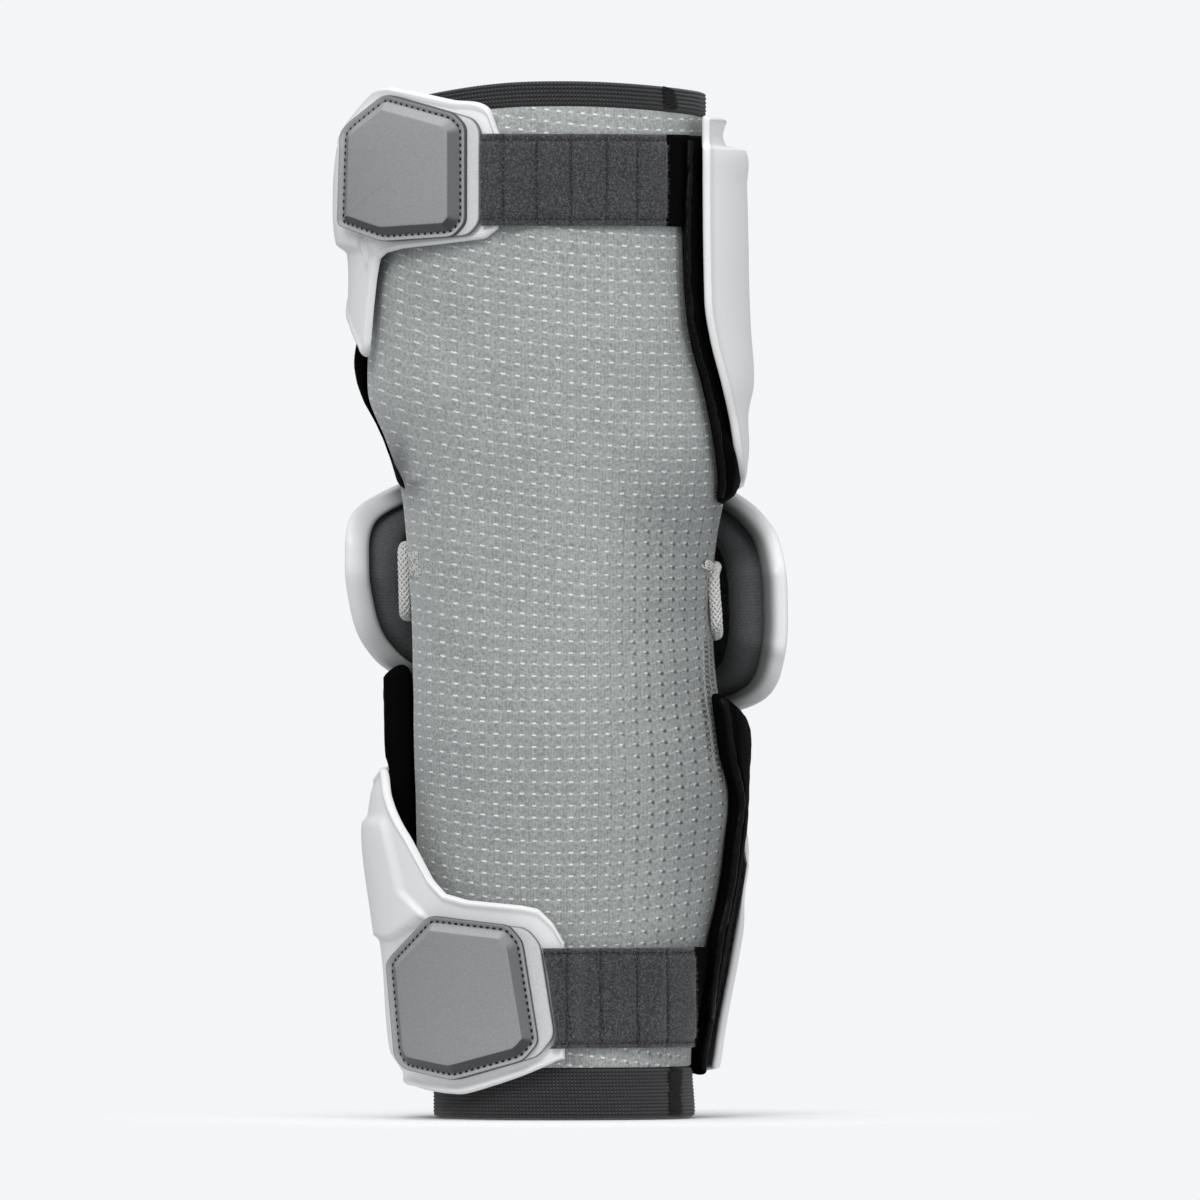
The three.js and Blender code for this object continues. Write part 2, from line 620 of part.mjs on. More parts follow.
// A cord of round section laid on the sleeve along a route.
function lace(route) {
  const points = route.map((p) => wrapped(p.round, p.height, SEAT + LACE_DIAMETER / 2));
  const section = new THREE.Shape();
  for (let i = 0; i < LACE_SIDES; i += 1) {
    const angle = radians((i / LACE_SIDES) * FULL_TURN);
    const x = (LACE_DIAMETER / 2) * Math.cos(angle);
    const y = (LACE_DIAMETER / 2) * Math.sin(angle);
    if (i === 0) section.moveTo(x, y);
    else section.lineTo(x, y);
  }
  const path = new THREE.CatmullRomCurve3(points);
  return facingOut(new THREE.ExtrudeGeometry(section, { steps: LACE_STEPS, extrudePath: path }));
}

function finish(color, roughness, metalness) {
  return new THREE.MeshStandardMaterial({ color, roughness, metalness });
}

const pieces = new THREE.Group();

function addPiece(name, geometry, material) {
  const mesh = new THREE.Mesh(geometry, material);
  mesh.name = name;
  pieces.add(mesh);
}

const tabTop = TAB_SEAT + TAB_THICKNESS;
const panelTop = tabTop + PANEL_SEAT + TAB_PANEL_THICKNESS;

function addTab(name, form, place, ribs) {
  addPiece(name, tab(form, place, ribs, 1, TAB_SEAT, tabTop), finish(TAB_GREY, 0.6, 0));
  const panel = tab(form, place, ribs, TAB_PANEL_SHARE, tabTop + PANEL_SEAT, panelTop);
  addPiece(name + "_panel", panel, finish(PANEL_GREY, 0.75, 0));
}

addPiece("sleeve", sleeve(), finish(MESH_GREY, 0.95, 0));
addPiece("top_cuff", topCuff(), finish(ELASTIC_GREY, 0.9, 0));
addPiece("bottom_cuff", bottomCuff(), finish(ELASTIC_GREY, 0.9, 0));
const upperPad = pad(UPPER, UPPER_PAD_EDGES, 21, 12, UPPER_PAD_TOP, true);
const forearmPad = pad(FOREARM, FOREARM_PAD_EDGES, 20, 8, FOREARM_PAD_BOTTOM, false);
addPiece("upper_arm_pad", upperPad, finish(SOFT_BLACK, 0.7, 0));
addPiece("forearm_pad", forearmPad, finish(SOFT_BLACK, 0.7, 0));
addPiece("upper_arm_shell", upperArmShell(), finish(SHELL_WHITE, 0.35, 0));
addPiece("forearm_shell", forearmShell(), finish(SHELL_WHITE, 0.35, 0));
addPiece("elbow_cap", elbowCap(), finish(SHELL_WHITE, 0.35, 0));
addPiece("elbow_liner", elbowLiner(), finish(LINER_GREY, 0.85, 0));
addPiece("upper_strap", upperStrap(), finish(STRAP_GREY, 1, 0));
addPiece("upper_strap_anchor", upperStrapAnchor(), finish(SOFT_BLACK, 0.8, 0));
addPiece("lower_strap", lowerStrap(), finish(STRAP_GREY, 1, 0));
addPiece("lower_strap_anchor", lowerStrapAnchor(), finish(SOFT_BLACK, 0.8, 0));
addTab("upper_tab", UPPER, UPPER_TAB_PLACE, UPPER_TAB_RIBS);
addTab("lower_tab", FOREARM, LOWER_TAB_PLACE, LOWER_TAB_RIBS);
addPiece("left_lace", lace(LEFT_LACE_ROUTE), finish(CORD_WHITE, 0.85, 0));
addPiece("right_lace", lace(RIGHT_LACE_ROUTE), finish(CORD_WHITE, 0.85, 0));

export default pieces;
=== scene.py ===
"""Arm pad as worn: knitted sleeve, foam pads, moulded shells, elbow cap, straps, tabs and laces.

Shapes are worked out in millimetres and made in metres. The arm runs along +Z, the straps are
on the -Y side and the hard side is +Y. Angles round the arm run in degrees from the front over
the left side (90), the back (180) and the right side (270).
"""

import math

import bpy
import numpy as np
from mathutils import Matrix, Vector


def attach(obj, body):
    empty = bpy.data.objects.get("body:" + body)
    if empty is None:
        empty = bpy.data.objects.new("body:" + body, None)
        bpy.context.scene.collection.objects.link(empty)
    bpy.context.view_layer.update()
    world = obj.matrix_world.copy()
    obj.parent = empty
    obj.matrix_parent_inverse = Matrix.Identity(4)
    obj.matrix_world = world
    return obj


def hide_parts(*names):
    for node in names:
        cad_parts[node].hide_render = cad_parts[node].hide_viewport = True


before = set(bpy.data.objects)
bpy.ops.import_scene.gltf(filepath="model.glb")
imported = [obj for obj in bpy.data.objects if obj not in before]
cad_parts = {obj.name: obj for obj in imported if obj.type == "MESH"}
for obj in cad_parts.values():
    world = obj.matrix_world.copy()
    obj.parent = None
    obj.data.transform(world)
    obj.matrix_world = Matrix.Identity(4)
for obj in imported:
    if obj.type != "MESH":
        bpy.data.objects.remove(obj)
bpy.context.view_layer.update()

# Metres in a millimetre
MM = 0.001
# Sizes in millimetres, apart from exponents and shares
UPPER_LENGTH = 172.0
LOWER_LENGTH = 172.0
HALF_WIDTH = 52.0
HALF_DEPTH = 45.0
WALL = 1.6
SQUARENESS = 2.2
SEAT = 0.7
PAD_SEAT = 1.0
TOP_CUFF = 8.0
BOTTOM_CUFF = 16.5
CUFF_GAP = 0.3
CUFF_WALL = 2.4
SHELL_THICKNESS = 2.6
STANDOFF = 14.0
BEAD_HEIGHT = 0.5
BEAD_WIDTH = 1.6
PAD_FILL = 0.9
CAP_HALF_WIDTH = 73.5
CAP_HALF_HEIGHT = 46.0
CAP_CENTRE = 3.2
CAP_WALL = 3.2
CAP_CLEARANCE = 2.2
MOUTH_AT_SIDES = 2.0
MOUTH_AT_MIDDLE = 51.5
MOUTH_CURVE = 0.66
LIP_WIDTH = 8.0
LINER_THICKNESS = 6.5
UPPER_STRAP_MIDDLE = 139.2
UPPER_STRAP_WIDTH = 30.6
LOWER_STRAP_MIDDLE = -132.0
LOWER_STRAP_WIDTH = 33.4
STRAP_END = 33.0
LOWER_STRAP_END = 41.8
TAB_RAISE = 4.0
SEAM_INSET = 2.0
FIBRE_HALF_WIDTH = 0.035
FLOOR_HEIGHT = -172.6

# Angles that a search across the front view starts from, in degrees
LEFT_HALF = (92, -20)
FRONT_HALF = (75, -75)
LACE_SIDES = {"left": (90, -20), "right": (-90, 20)}
# From this angle on the columns of the upper shell spread towards its near right edge
SPREAD_FROM = 262

# Cross sections of the sleeve as shares of its length, half width and half depth
SLEEVE = {
    "rise": [
        -1, -0.87, -0.7, -0.58, -0.48, -0.38, -0.28, -0.14, 0, 0.12, 0.22, 0.31, 0.4, 0.58, 0.75, 0.9,
        1,
    ],
    "left": [
        0.84, 0.85, 0.9, 0.93, 0.95, 0.96, 0.97, 0.98, 0.99, 1.02, 1.06, 1.15, 1.26, 1.24, 1.2, 1.13,
        1.06,
    ],
    "right": [
        0.83, 0.81, 0.91, 0.98, 1.03, 1.06, 1.03, 0.96, 0.94, 0.97, 1.03, 1.04, 0.99, 0.93, 0.91, 0.9,
        0.9,
    ],
    "front": [
        0.84, 0.86, 0.9, 0.93, 0.96, 0.98, 0.98, 0.96, 0.95, 0.96, 0.99, 1.02, 1.05, 1.07, 1.04, 0.99,
        0.95,
    ],
    "back": [
        0.82, 0.84, 0.88, 0.92, 0.95, 0.98, 1.03, 1.16, 1.22, 1.18, 1.08, 1.04, 1.02, 1, 1, 0.98, 0.95,
    ],
}
# Outside of each shell over the sleeve, as shares of its standoff
UPPER_LIFTS = {
    "rise": [0.2, 0.27, 0.35, 0.42, 0.53, 0.67, 0.69, 0.8, 0.871, 0.88, 0.93, 1],
    "left": [0.22, 0.3, 0.36, 0.42, 0.55, 0.66, 0.94, 1.15, 1.2, 1.19, 1.1, 1],
    "back": [0.62, 0.8, 0.88, 0.92, 0.96, 1, 1.01, 1.01, 1, 0.95, 0.88, 0.8],
    "right": [0.38, 0.5, 0.58, 0.86, 0.93, 0.98, 0.98, 0.98, 0.96, 0.5, 0.48, 0.46],
}
FOREARM_LIFTS = {
    "rise": [-1, -0.92, -0.87, -0.7, -0.62, -0.46, -0.38, -0.33, -0.28, -0.2],
    "left": [0.66, 0.72, 1.03, 1.02, 1.08, 1.2, 1.08, 0.92, 1.12, 1.1],
    "back": [0.8, 0.86, 0.92, 1, 1.02, 1.04, 1, 0.95, 0.9, 0.85],
    "right": [0.55, 0.66, 0.76, 0.76, 0.76, 0.76, 0.76, 0.82, 0.95, 1],
}
UPPER = {"lifts": UPPER_LIFTS, "wing_end": 36.0, "wing_lift": 3.6, "edge_lift": 9.0, "pad_edge": 5.0}
FOREARM = {"lifts": FOREARM_LIFTS, "wing_end": 30.0, "wing_lift": 6.0, "edge_lift": 13.0, "pad_edge": 9.5}
# Lower and upper limits of the shells by the angle round the arm
UPPER_LIMITS = {
    "round": [25, 31, 45, 57, 63, 68, 74, 82, 90, 110, 130, 155, 180, 210, 240, 262, 302],
    "bottom": [
        0.715, 0.7, 0.69, 0.68, 0.63, 0.51, 0.455, 0.53, 0.567, 0.55, 0.4, 0.33, 0.31, 0.31, 0.29, 0.25,
        0.215,
    ],
    "top": [
        0.895, 0.95, 0.965, 0.98, 0.987, 0.991, 0.982, 0.935, 0.9, 0.9, 0.92, 0.94, 0.95, 0.95, 0.94,
        0.934, 0.934,
    ],
}
UPPER_EDGE = {"rise": [0.2, 0.33, 0.41, 0.5, 0.58, 1], "across": [1.15, 1.1, 1.04, 0.96, 0.92, 0.91]}
FOREARM_LIMITS = {
    "round": [0, 9, 19, 34, 45, 52, 60, 68, 76, 84, 100, 130, 180, 220, 245, 263],
    "bottom": [
        -0.885, -0.9, -0.918, -0.94, -0.953, -0.953, -0.95, -0.945, -0.94, -0.94, -0.935, -0.93, -0.925,
        -0.92, -0.915, -0.91,
    ],
    "top": [
        -0.66, -0.6, -0.589, -0.58, -0.57, -0.53, -0.47, -0.42, -0.325, -0.34, -0.332, -0.3, -0.3,
        -0.33, -0.42, -0.51,
    ],
}
# Edges of the wings, seen from the front, in millimetres across and up
UPPER_WING_EDGE = [
    (-22.7, 123), (-27, 119.7), (-41.7, 118), (-55, 116.6), (-60.6, 115.2), (-63.6, 112.6),
    (-65.2, 103.3), (-66, 94.7), (-66.6, 86.5), (-67.2, 80), (-68.4, 83.2), (-70.3, 87.3), (-71.7, 91),
    (-74, 96.7),
]
FOREARM_WING_EDGE = [
    (-0.3, -113.3), (-4, -107), (-9, -102.3), (-14.7, -101.2), (-33, -99.5), (-40.7, -97.4),
    (-45.3, -92.5), (-50.3, -83.3), (-53, -78.3), (-56, -73.5), (-58.3, -68.7), (-60.2, -61),
    (-61.2, -56.3),
]
UPPER_PAD_EDGES = {
    "rise": [0.22, 0.32, 0.42, 0.5, 0.58, 0.7, 0.95],
    "start": [76, 92, 90, 86, 80, 72, 66],
    "across": [1, 0.96, 0.89, 0.82, 0.785, 0.77, 0.79],
}
FOREARM_PAD_EDGES = {
    "rise": [-0.95, -0.87, -0.66, -0.58, -0.47, -0.38, -0.29, -0.1],
    "start": [86, 86, 86, 86, 85, 85, 86, 88],
    "across": [0.855, 0.867, 0.937, 1.0, 1.05, 1.075, 1.0, 0.94],
}
# Gap between each pad and the cap's rim, seen from the front, by angle
UPPER_PAD_GAPS = ([92, 115, 245, 266, 276], [-1, CAP_CLEARANCE, CAP_CLEARANCE, -2.5, -6])
FOREARM_PAD_GAPS = ([92, 102, 126, 248, 268, 284], [-7.5, -7, CAP_CLEARANCE, CAP_CLEARANCE, -1, -8])
# Corners of the tabs, seen from the front, in millimetres across and up: the highest one, the right
# side of the strip, the right side of the body over it, and the left side of both
TABS = {
    "upper": {
        "top": (-60, 168),
        "strip": [(-31.2, 159.6), (-28.8, 156), (-28.8, 125.2), (-32.6, 120.6)],
        "body": [(-36.6, 161.2), (-32.9, 157), (-32.9, 124.8), (-37, 120.2)],
        "left": [(-60.5, 118.8), (-75.5, 124.4), (-74.6, 155.6), (-72, 158.6)],
    },
    "lower": {
        "top": (-45, -104.6),
        "strip": [(-13, -108.6), (-8.4, -113.6), (-3.4, -144.4), (-9, -151.4)],
        "body": [(-18.6, -107.6), (-14, -113), (-8.6, -146.6), (-13.6, -152.6)],
        "left": [(-37.2, -159.4), (-53.6, -156), (-56.6, -151.6), (-59.3, -121), (-57.8, -118.4)],
    },
}
# Rows of inset, lift, tone of painted shade and how much the tone follows the side that a row faces
# painted light on slopes facing up, painted shade on walls, grooves and slopes facing down or right
STRIP_PROFILE = [
    (0.5, 1.2, 0.25, 0), (0.05, 1.4, 0.2, 0), (0, 1.9, 0.2, 0), (0.05, 2.4, 0.22, 0), (0.3, 2.75, 0.5, 0),
    (0.6, 2.85, 1, 0), (1.4, 2.9, 1, 0),
]
BODY_PROFILE = [
    (0.6, 2.2, 0.3, 0), (0.1, 2.4, 0.15, 0), (0.0, 3.2, 0.15, 0), (0.05, 4.2, 0.2, 0), (0.2, 4.55, 0.45, 0),
    (0.45, 4.6, 1, -0.2), (0.9, 4.25, 1.05, -0.2), (1.35, 3.85, 0.9, -0.2), (1.6, 3.75, 0.62, 0),
    (2.0, 3.8, 0.7, 0), (2.3, 3.85, 0.6, 0),
]
PANEL_PROFILE = [
    (2.2, 3.5, 0.4, 0), (2.0, 3.8, 0.5, 0), (2.1, 4.0, 0.8, 0.5), (2.4, 4.25, 0.86, 0.8),
    (4.6, 5.95, 0.86, 0.8), (4.8, 6.15, 0.96, 0.4), (4.9, 6.2, 1, 0), (5.6, 6.2, 1, 0),
]
# Middle lines of the laces, in millimetres
LEFT_LACE = [
    (-49.5, 17, 17.2), (-52.5, 10, 17.6), (-53.6, 3.4, 17.2), (-53.8, -0.2, 14), (-53.6, -1, 6.5),
    (-53.4, -0.2, -1.4), (-53.2, 3.4, -4.4), (-52.3, 10, -5), (-49.5, 17, -4.8),
]
RIGHT_LACE = [
    (48, 7.5, 10.6), (50, 3, 10.9), (50, -3.5, 10.6), (49.5, -8.6, 8.4), (49.7, -9.8, 3),
    (50.3, -9.6, -4), (50.5, -8.8, -8), (50.6, -3.5, -10.8), (50.2, 3, -11.4), (48, 7.5, -11.6),
]
# Where the knit is drawn in from, by height and place across
GATHERED_FROM = ([-64, -58, -52, -36], [53, 51, 48.4, 45.6])
# Right end of the forearm shell's raised block, by height and place across
BLOCK_END = ([-117, -105, -97, -72], [-44, -45, -53, -59])
# Outline of the cap's rim, seen from the front, from the right side over the top
CAP_RIM = [
    (74.3, -2.5), (73.9, 8), (72, 18.3), (68.6, 25.6), (59.7, 34.3), (42, 43), (15, 48.5), (-15, 50),
    (-40, 45.5), (-56.7, 38.4), (-68.6, 31.6), (-72.7, 24.7), (-73.4, 14), (-73, 4.7), (-70.3, -8.7),
    (-66, -17), (-58.7, -24), (-40, -34), (-15, -41.5), (15, -43.5), (42, -41), (58.3, -37),
    (66.6, -33.2), (70.8, -28), (73, -20.5), (74.2, -12),
]
# Slope of the rows of stitches by place across, and the heights between which each passes into the next
ROW_SLOPES = {
    "across": [-70, -48, -32, -5, 22, 38, 55],
    "high": [-0.5, -0.32, -0.21, -0.12, -0.05, 0.0, 0.1],
    "middle": [-0.26, -0.19, -0.17, -0.15, -0.05, 0.0, 0.12],
    "low": [-0.26, -0.16, -0.08, 0.0, 0.07, 0.14, 0.24],
    "foot": [-0.5, -0.36, -0.16, 0.0, 0.07, 0.12, 0.16],
    "hem": [-0.5, -0.36, -0.16, -0.13, -0.14, -0.14, -0.1],
}
ROW_HEIGHTS = {"hem": (-147, -116), "foot": (-95, -32), "low": (-32, 14), "middle": (14, 100)}


def along(table, key, place, value):
    """Smooth value of one column of a table at places along another."""
    x = np.array(table[place], float)
    y = np.array(table[key], float)
    slope = np.zeros(len(x))
    slope[1:-1] = (y[2:] - y[:-2]) / (x[2:] - x[:-2])
    v = np.clip(value, x[0], x[-1])
    i = np.clip(np.searchsorted(x, v, side="right") - 1, 0, len(x) - 2)
    span = x[i + 1] - x[i]
    t = (v - x[i]) / span
    rise = t * t * (3 - 2 * t)
    bend = t * (1 - t) ** 2 * slope[i] - t * t * (1 - t) * slope[i + 1]
    return y[i] + (y[i + 1] - y[i]) * rise + bend * span


def mix(a, b, t):
    return a + (b - a) * t


def ease(low, high, value):
    t = np.clip((np.asarray(value, float) - low) / (high - low), 0, 1)
    return t * t * (3 - 2 * t)


def height_of(rise):
    return rise * np.where(np.asarray(rise) > 0, UPPER_LENGTH, LOWER_LENGTH)


def rise_of(height):
    return height / np.where(np.asarray(height) > 0, UPPER_LENGTH, LOWER_LENGTH)


def hump(value, width):
    """1 where a value is 0, and less to both sides of it."""
    return np.exp(-((value / width) ** 2))


def sleeve_radius(round_, height):
    """Distance of the sleeve's outside from the arm's axis."""
    rise = rise_of(height)
    across = np.sin(np.radians(round_))
    ahead = np.cos(np.radians(round_))
    sides = ("left", "right", "front", "back")
    left, right, front, back = (along(SLEEVE, key, "rise", rise) for key in sides)
    wide = np.abs(across / (HALF_WIDTH * np.where(across > 0, left, right)))
    deep = np.abs(ahead / (HALF_DEPTH * np.where(ahead > 0, front, back)))
    return (wide**SQUARENESS + deep**SQUARENESS) ** (-1 / SQUARENESS)


def wrapped(round_, height, lift):
    """Points at angles round the arm, heights and distances over the sleeve."""
    round_, height, lift = np.broadcast_arrays(round_, height, lift)
    radius = sleeve_radius(round_, height) + lift
    angle = np.radians(round_)
    return np.stack([-radius * np.sin(angle), -radius * np.cos(angle), height], axis=-1)


def shell_lift(form, round_, height):
    """How far the outside of a shell lies over the sleeve."""
    round_, height = np.broadcast_arrays(np.asarray(round_, float), np.asarray(height, float))
    rise = rise_of(height)
    sides = ("left", "back", "right")
    left, back, right = (STANDOFF * along(form["lifts"], key, "rise", rise) for key in sides)
    wing = mix(form["wing_lift"], left, ease(form["wing_end"], 90, round_))
    rear = mix(left, back, ease(90, 180, round_))
    flank = mix(back, right, ease(180, 270, round_))
    edge = mix(right, form["edge_lift"], ease(270, 315, round_))
    return np.select([round_ < 90, round_ < 180, round_ < 270], [wing, rear, flank], edge)


def round_at(across, height, lift, low, high):
    """Angles between two limits at which a surface reaches places across the front view."""
    across, height = np.broadcast_arrays(np.asarray(across, float), np.asarray(height, float))
    low = np.full(across.shape, float(low))
    high = np.full(across.shape, float(high))

    def reached(angle):
        return wrapped(angle, height, lift(angle, height))[..., 0]

    rising = reached(high) > reached(low)
    for _ in range(26):
        middle = (low + high) / 2
        below = (reached(middle) < across) == rising
        low = np.where(below, middle, low)
        high = np.where(below, high, middle)
    return (low + high) / 2


def no_lift(round_, height):
    return np.zeros(np.broadcast(round_, height).shape)


def ripple(points, size, seed, octaves=3):
    """Smooth unevenness from -1 to 1 for each point, of a size in millimetres."""
    dice = np.random.default_rng(seed)
    total = np.zeros(points.shape[:-1])
    weight = 0.0
    for octave in range(octaves):
        for _ in range(5):
            way = dice.normal(size=3)
            way *= 2 * math.pi * 1.7**octave / (size * np.linalg.norm(way))
            total += np.sin(points @ way + dice.uniform(0, 6.28)) * 0.6**octave
        weight += 5 * 0.6**octave
    return total / weight * 2.2


# Meshes


def steps(count, edge, fine):
    """Shares from 0 to 1, closer together near both ends."""
    near = edge * (1 - np.cos(np.linspace(0, math.pi / 2, fine + 1)))
    middle = np.linspace(edge, 1 - edge, count)[1:-1]
    return np.concatenate([near, middle, 1 - near[::-1]])


def grid_faces(index, ring):
    """Corner indices of the quads of a grid, and the grid places of the corners."""
    columns, rows = index.shape
    i, j = np.meshgrid(np.arange(columns if ring else columns - 1), np.arange(rows - 1), indexing="ij")
    i, j = i.ravel(), j.ravel()
    corners = [(i, j), (i + 1, j), (i + 1, j + 1), (i, j + 1)]
    faces = np.stack([index[a % columns, b] for a, b in corners], axis=1)
    return faces, corners


def fan(tip, one, two):
    """Faces from one point to each step between two rows of points, with the last corner twice."""
    return np.stack([np.full(len(one), tip), one, two, two], axis=1)


def unit(vectors):
    return vectors / np.maximum(np.linalg.norm(vectors, axis=-1, keepdims=True), 1e-9)


def add_mesh(name, points, faces, material, uvs=None, marks=None):
    """An object from points in millimetres and faces of four corners, with its outside out."""
    corner = points[faces]
    volume = 0.0
    for k in range(1, faces.shape[1] - 1):
        volume += np.einsum("ij,ij->", corner[:, 0], np.cross(corner[:, k], corner[:, k + 1]))
    if volume < 0:
        faces = faces[:, ::-1]
        uvs = None if uvs is None else uvs[:, ::-1]
    kept = faces != np.roll(faces, -1, axis=1)
    corners = kept.sum(axis=1)
    mesh = bpy.data.meshes.new(name)
    mesh.vertices.add(len(points))
    mesh.vertices.foreach_set("co", (points * MM).astype(np.float32).ravel())
    mesh.loops.add(int(corners.sum()))
    mesh.loops.foreach_set("vertex_index", faces[kept].astype(np.int32))
    mesh.polygons.add(len(faces))
    mesh.polygons.foreach_set("loop_start", (np.cumsum(corners) - corners).astype(np.int32))
    mesh.polygons.foreach_set("loop_total", corners.astype(np.int32))
    mesh.polygons.foreach_set("use_smooth", np.full(len(faces), True))
    if uvs is not None:
        layer = mesh.uv_layers.new(name="UVMap")
        layer.data.foreach_set("uv", uvs[kept].astype(np.float32).ravel())
    mesh.update(calc_edges=True)
    for key, values in (marks or {}).items():
        mark = mesh.attributes.new(key, "FLOAT", "POINT")
        mark.data.foreach_set("value", np.asarray(values, np.float32).ravel())
    mesh.validate()
    piece = bpy.data.objects.new(name, mesh)
    bpy.context.scene.collection.objects.link(piece)
    mesh.materials.append(material)
    return piece


def lengths(grid, axis):
    """Distances along one direction of a grid from its start."""
    gaps = np.linalg.norm(np.diff(grid, axis=axis), axis=-1)
    zero = np.zeros_like(np.take(gaps, [0], axis=axis))
    return np.concatenate([zero, np.cumsum(gaps, axis=axis)], axis=axis)


def border_distance(grid, ring):
    up = lengths(grid, 1)
    distance = np.minimum(up, up[:, -1:] - up)
    if not ring:
        across = lengths(grid, 0)
        distance = np.minimum(distance, np.minimum(across, across[-1:] - across))
    return distance


def towards_front(grid):
    """Unit normals of a grid of points on the front of the pad."""
    normal = unit(np.cross(np.gradient(grid, axis=0), np.gradient(grid, axis=1)))
    return -normal if normal[..., 1].mean() > 0 else normal


def slab(name, outer, inner, material, ring=False, edge=None, uv=None, marks=None):
    """A closed body between two grids of points with rounded edges, which share their borders."""
    middle = (outer + inner) / 2
    half = (outer - inner) / 2
    thickness = np.linalg.norm(half, axis=-1)
    reach = np.maximum(thickness if edge is None else edge, 0.05)
    share = np.clip(border_distance(middle, ring) / reach, 0, 1)
    swell = np.sqrt(np.maximum(1 - (1 - share) ** 2, 0))[..., None]
    top = middle + half * swell
    under = middle - half * swell
    columns, rows = top.shape[:2]
    index = np.arange(columns * rows).reshape(columns, rows)
    free = np.ones((columns, rows), bool)
    free[:, [0, -1]] = False
    if not ring:
        free[[0, -1], :] = False
    below = index.copy()
    below[free] = columns * rows + np.arange(free.sum())
    points = np.concatenate([top.reshape(-1, 3), under[free]])
    front, corners = grid_faces(index, ring)
    rear, _ = grid_faces(below, ring)
    faces = np.concatenate([front, rear[:, ::-1]])
    if uv is None:
        u = lengths(middle, 0)
        v = lengths(middle, 1)
        if ring:
            u = np.concatenate([u, u[-1:] + np.linalg.norm(middle[-1] - middle[0], axis=-1)[None]], axis=0)
            v = np.concatenate([v, v[:1]], axis=0)
    else:
        u, v = uv
    spots = np.stack([np.stack([u[a, b], v[a, b]], axis=-1) for a, b in corners], axis=1)
    uvs = np.concatenate([spots, spots[:, ::-1]])
    both = {}
    for key, values in (marks or {}).items():
        both[key] = np.concatenate([values.ravel(), values[free]])
    return add_mesh(name, points, faces, material, uvs, both)


def tube(path, radius, sides):
    """Points and faces of a round cord along a path. The radius is one number or one for each point."""
    path = np.asarray(path, float)
    tangent = unit(np.gradient(path, axis=0))
    guide = np.cross(tangent[0], [0.3, 0.5, 0.8])
    frames = []
    for t in tangent:
        guide = guide - t * (guide @ t)
        guide /= max(np.linalg.norm(guide), 1e-9)
        frames.append(guide)
    one = np.array(frames)
    two = np.cross(tangent, one)
    turn = np.linspace(0, 2 * math.pi, sides, endpoint=False)
    ring = one[:, None] * np.cos(turn)[None, :, None] + two[:, None] * np.sin(turn)[None, :, None]
    points = path[:, None] + ring * np.broadcast_to(radius, (len(path),))[:, None, None]
    index = np.arange(len(path) * sides).reshape(len(path), sides)
    after = np.roll(index, -1, axis=1)
    faces = np.stack([index[:-1], index[1:], after[1:], after[:-1]], axis=-1).reshape(-1, 4)
    start = fan(index.size, index[0], after[0])
    end = fan(index.size + 1, after[-1], index[-1])
    points = np.concatenate([points.reshape(-1, 3), path[:1], path[-1:]])
    return points, np.concatenate([faces, start, end])


def joined(parts):
    """Points and faces of several bodies as one."""
    points, faces, count = [], [], 0
    for p, f in parts:
        points.append(p)
        faces.append(f + count)
        count += len(p)
    return np.concatenate(points), np.concatenate(faces)


def read_off(line, far, at):
    """Points of a line at distances along it, where far holds the distances of its own points."""
    return np.stack([np.interp(at, far, column) for column in line.T], axis=1)


def resampled(points, step=None, closed=False, count=None):
    """A line with evenly spaced points, a step apart or of a given count."""
    points = np.asarray(points, float)
    if closed:
        points = np.concatenate([points, points[:1]])
    far = lengths(points, 0)
    count = count or max(3, int(far[-1] / step))
    return read_off(points, far, np.linspace(0, far[-1], count, endpoint=not closed))


def curve(a, b, c, d, count):
    """Points of a Catmull-Rom line from b to c."""
    t = np.linspace(0, 1, count, endpoint=False)[:, None]
    return 0.5 * (2 * b + (c - a) * t + (2 * a - 5 * b + 4 * c - d) * t**2 + (3 * b - a - 3 * c + d) * t**3)


def smoothed(points, step):
    """A smooth line through points, evenly spaced."""
    p = np.asarray(points, float)
    p = np.concatenate([2 * p[:1] - p[1:2], p, 2 * p[-1:] - p[-2:-1]])
    line = [curve(*four, 16) for four in zip(p[:-3], p[1:-2], p[2:-1], p[3:])]
    return resampled(np.concatenate(line + [p[-2:-1]]), step)


def closed_curve(points, count):
    """A smooth closed line through points, evenly spaced."""
    p = np.asarray(points, float)
    fours = zip(*(np.roll(p, shift, axis=0) for shift in (1, 0, -1, -2)))
    return resampled(np.concatenate([curve(*four, 12) for four in fours]), closed=True, count=count)


def stitches(places, ways, normals, length, width):
    """Small raised threads, one at each place, along its way."""
    ring = np.array([
        (-0.5, 0, 0), (-0.3, 0.5, 0), (0.3, 0.5, 0), (0.5, 0, 0), (0.3, -0.5, 0), (-0.3, -0.5, 0),
        (-0.22, 0, 0.42), (0.22, 0, 0.42),
    ])
    scaled = ring * np.array([length, width, width])
    points = places[:, None]
    for k, axis in enumerate((ways, np.cross(normals, ways), normals)):
        points = points + scaled[None, :, k : k + 1] * axis[:, None]
    quads = np.array([
        (0, 1, 6, 6), (1, 2, 7, 6), (2, 3, 7, 7), (3, 4, 7, 7), (4, 5, 6, 7), (5, 0, 6, 6), (0, 5, 4, 3),
        (0, 3, 2, 1),
    ])
    faces = quads[None] + np.arange(len(places))[:, None, None] * len(ring)
    return points.reshape(-1, 3), faces.reshape(-1, 4)


def threads_along(line, normals, pitch, length, width, raised):
    """Stitches along a line of points with normals, at an even pitch."""
    far = lengths(line, 0)
    at = np.arange(pitch / 2, far[-1], pitch)
    up = unit(read_off(normals, far, at))
    way = read_off(line, far, at + 0.3) - read_off(line, far, at - 0.3)
    way -= up * (way * up).sum(1, keepdims=True)
    return stitches(read_off(line, far, at) + up * raised, unit(way), up, length, width)


# Materials


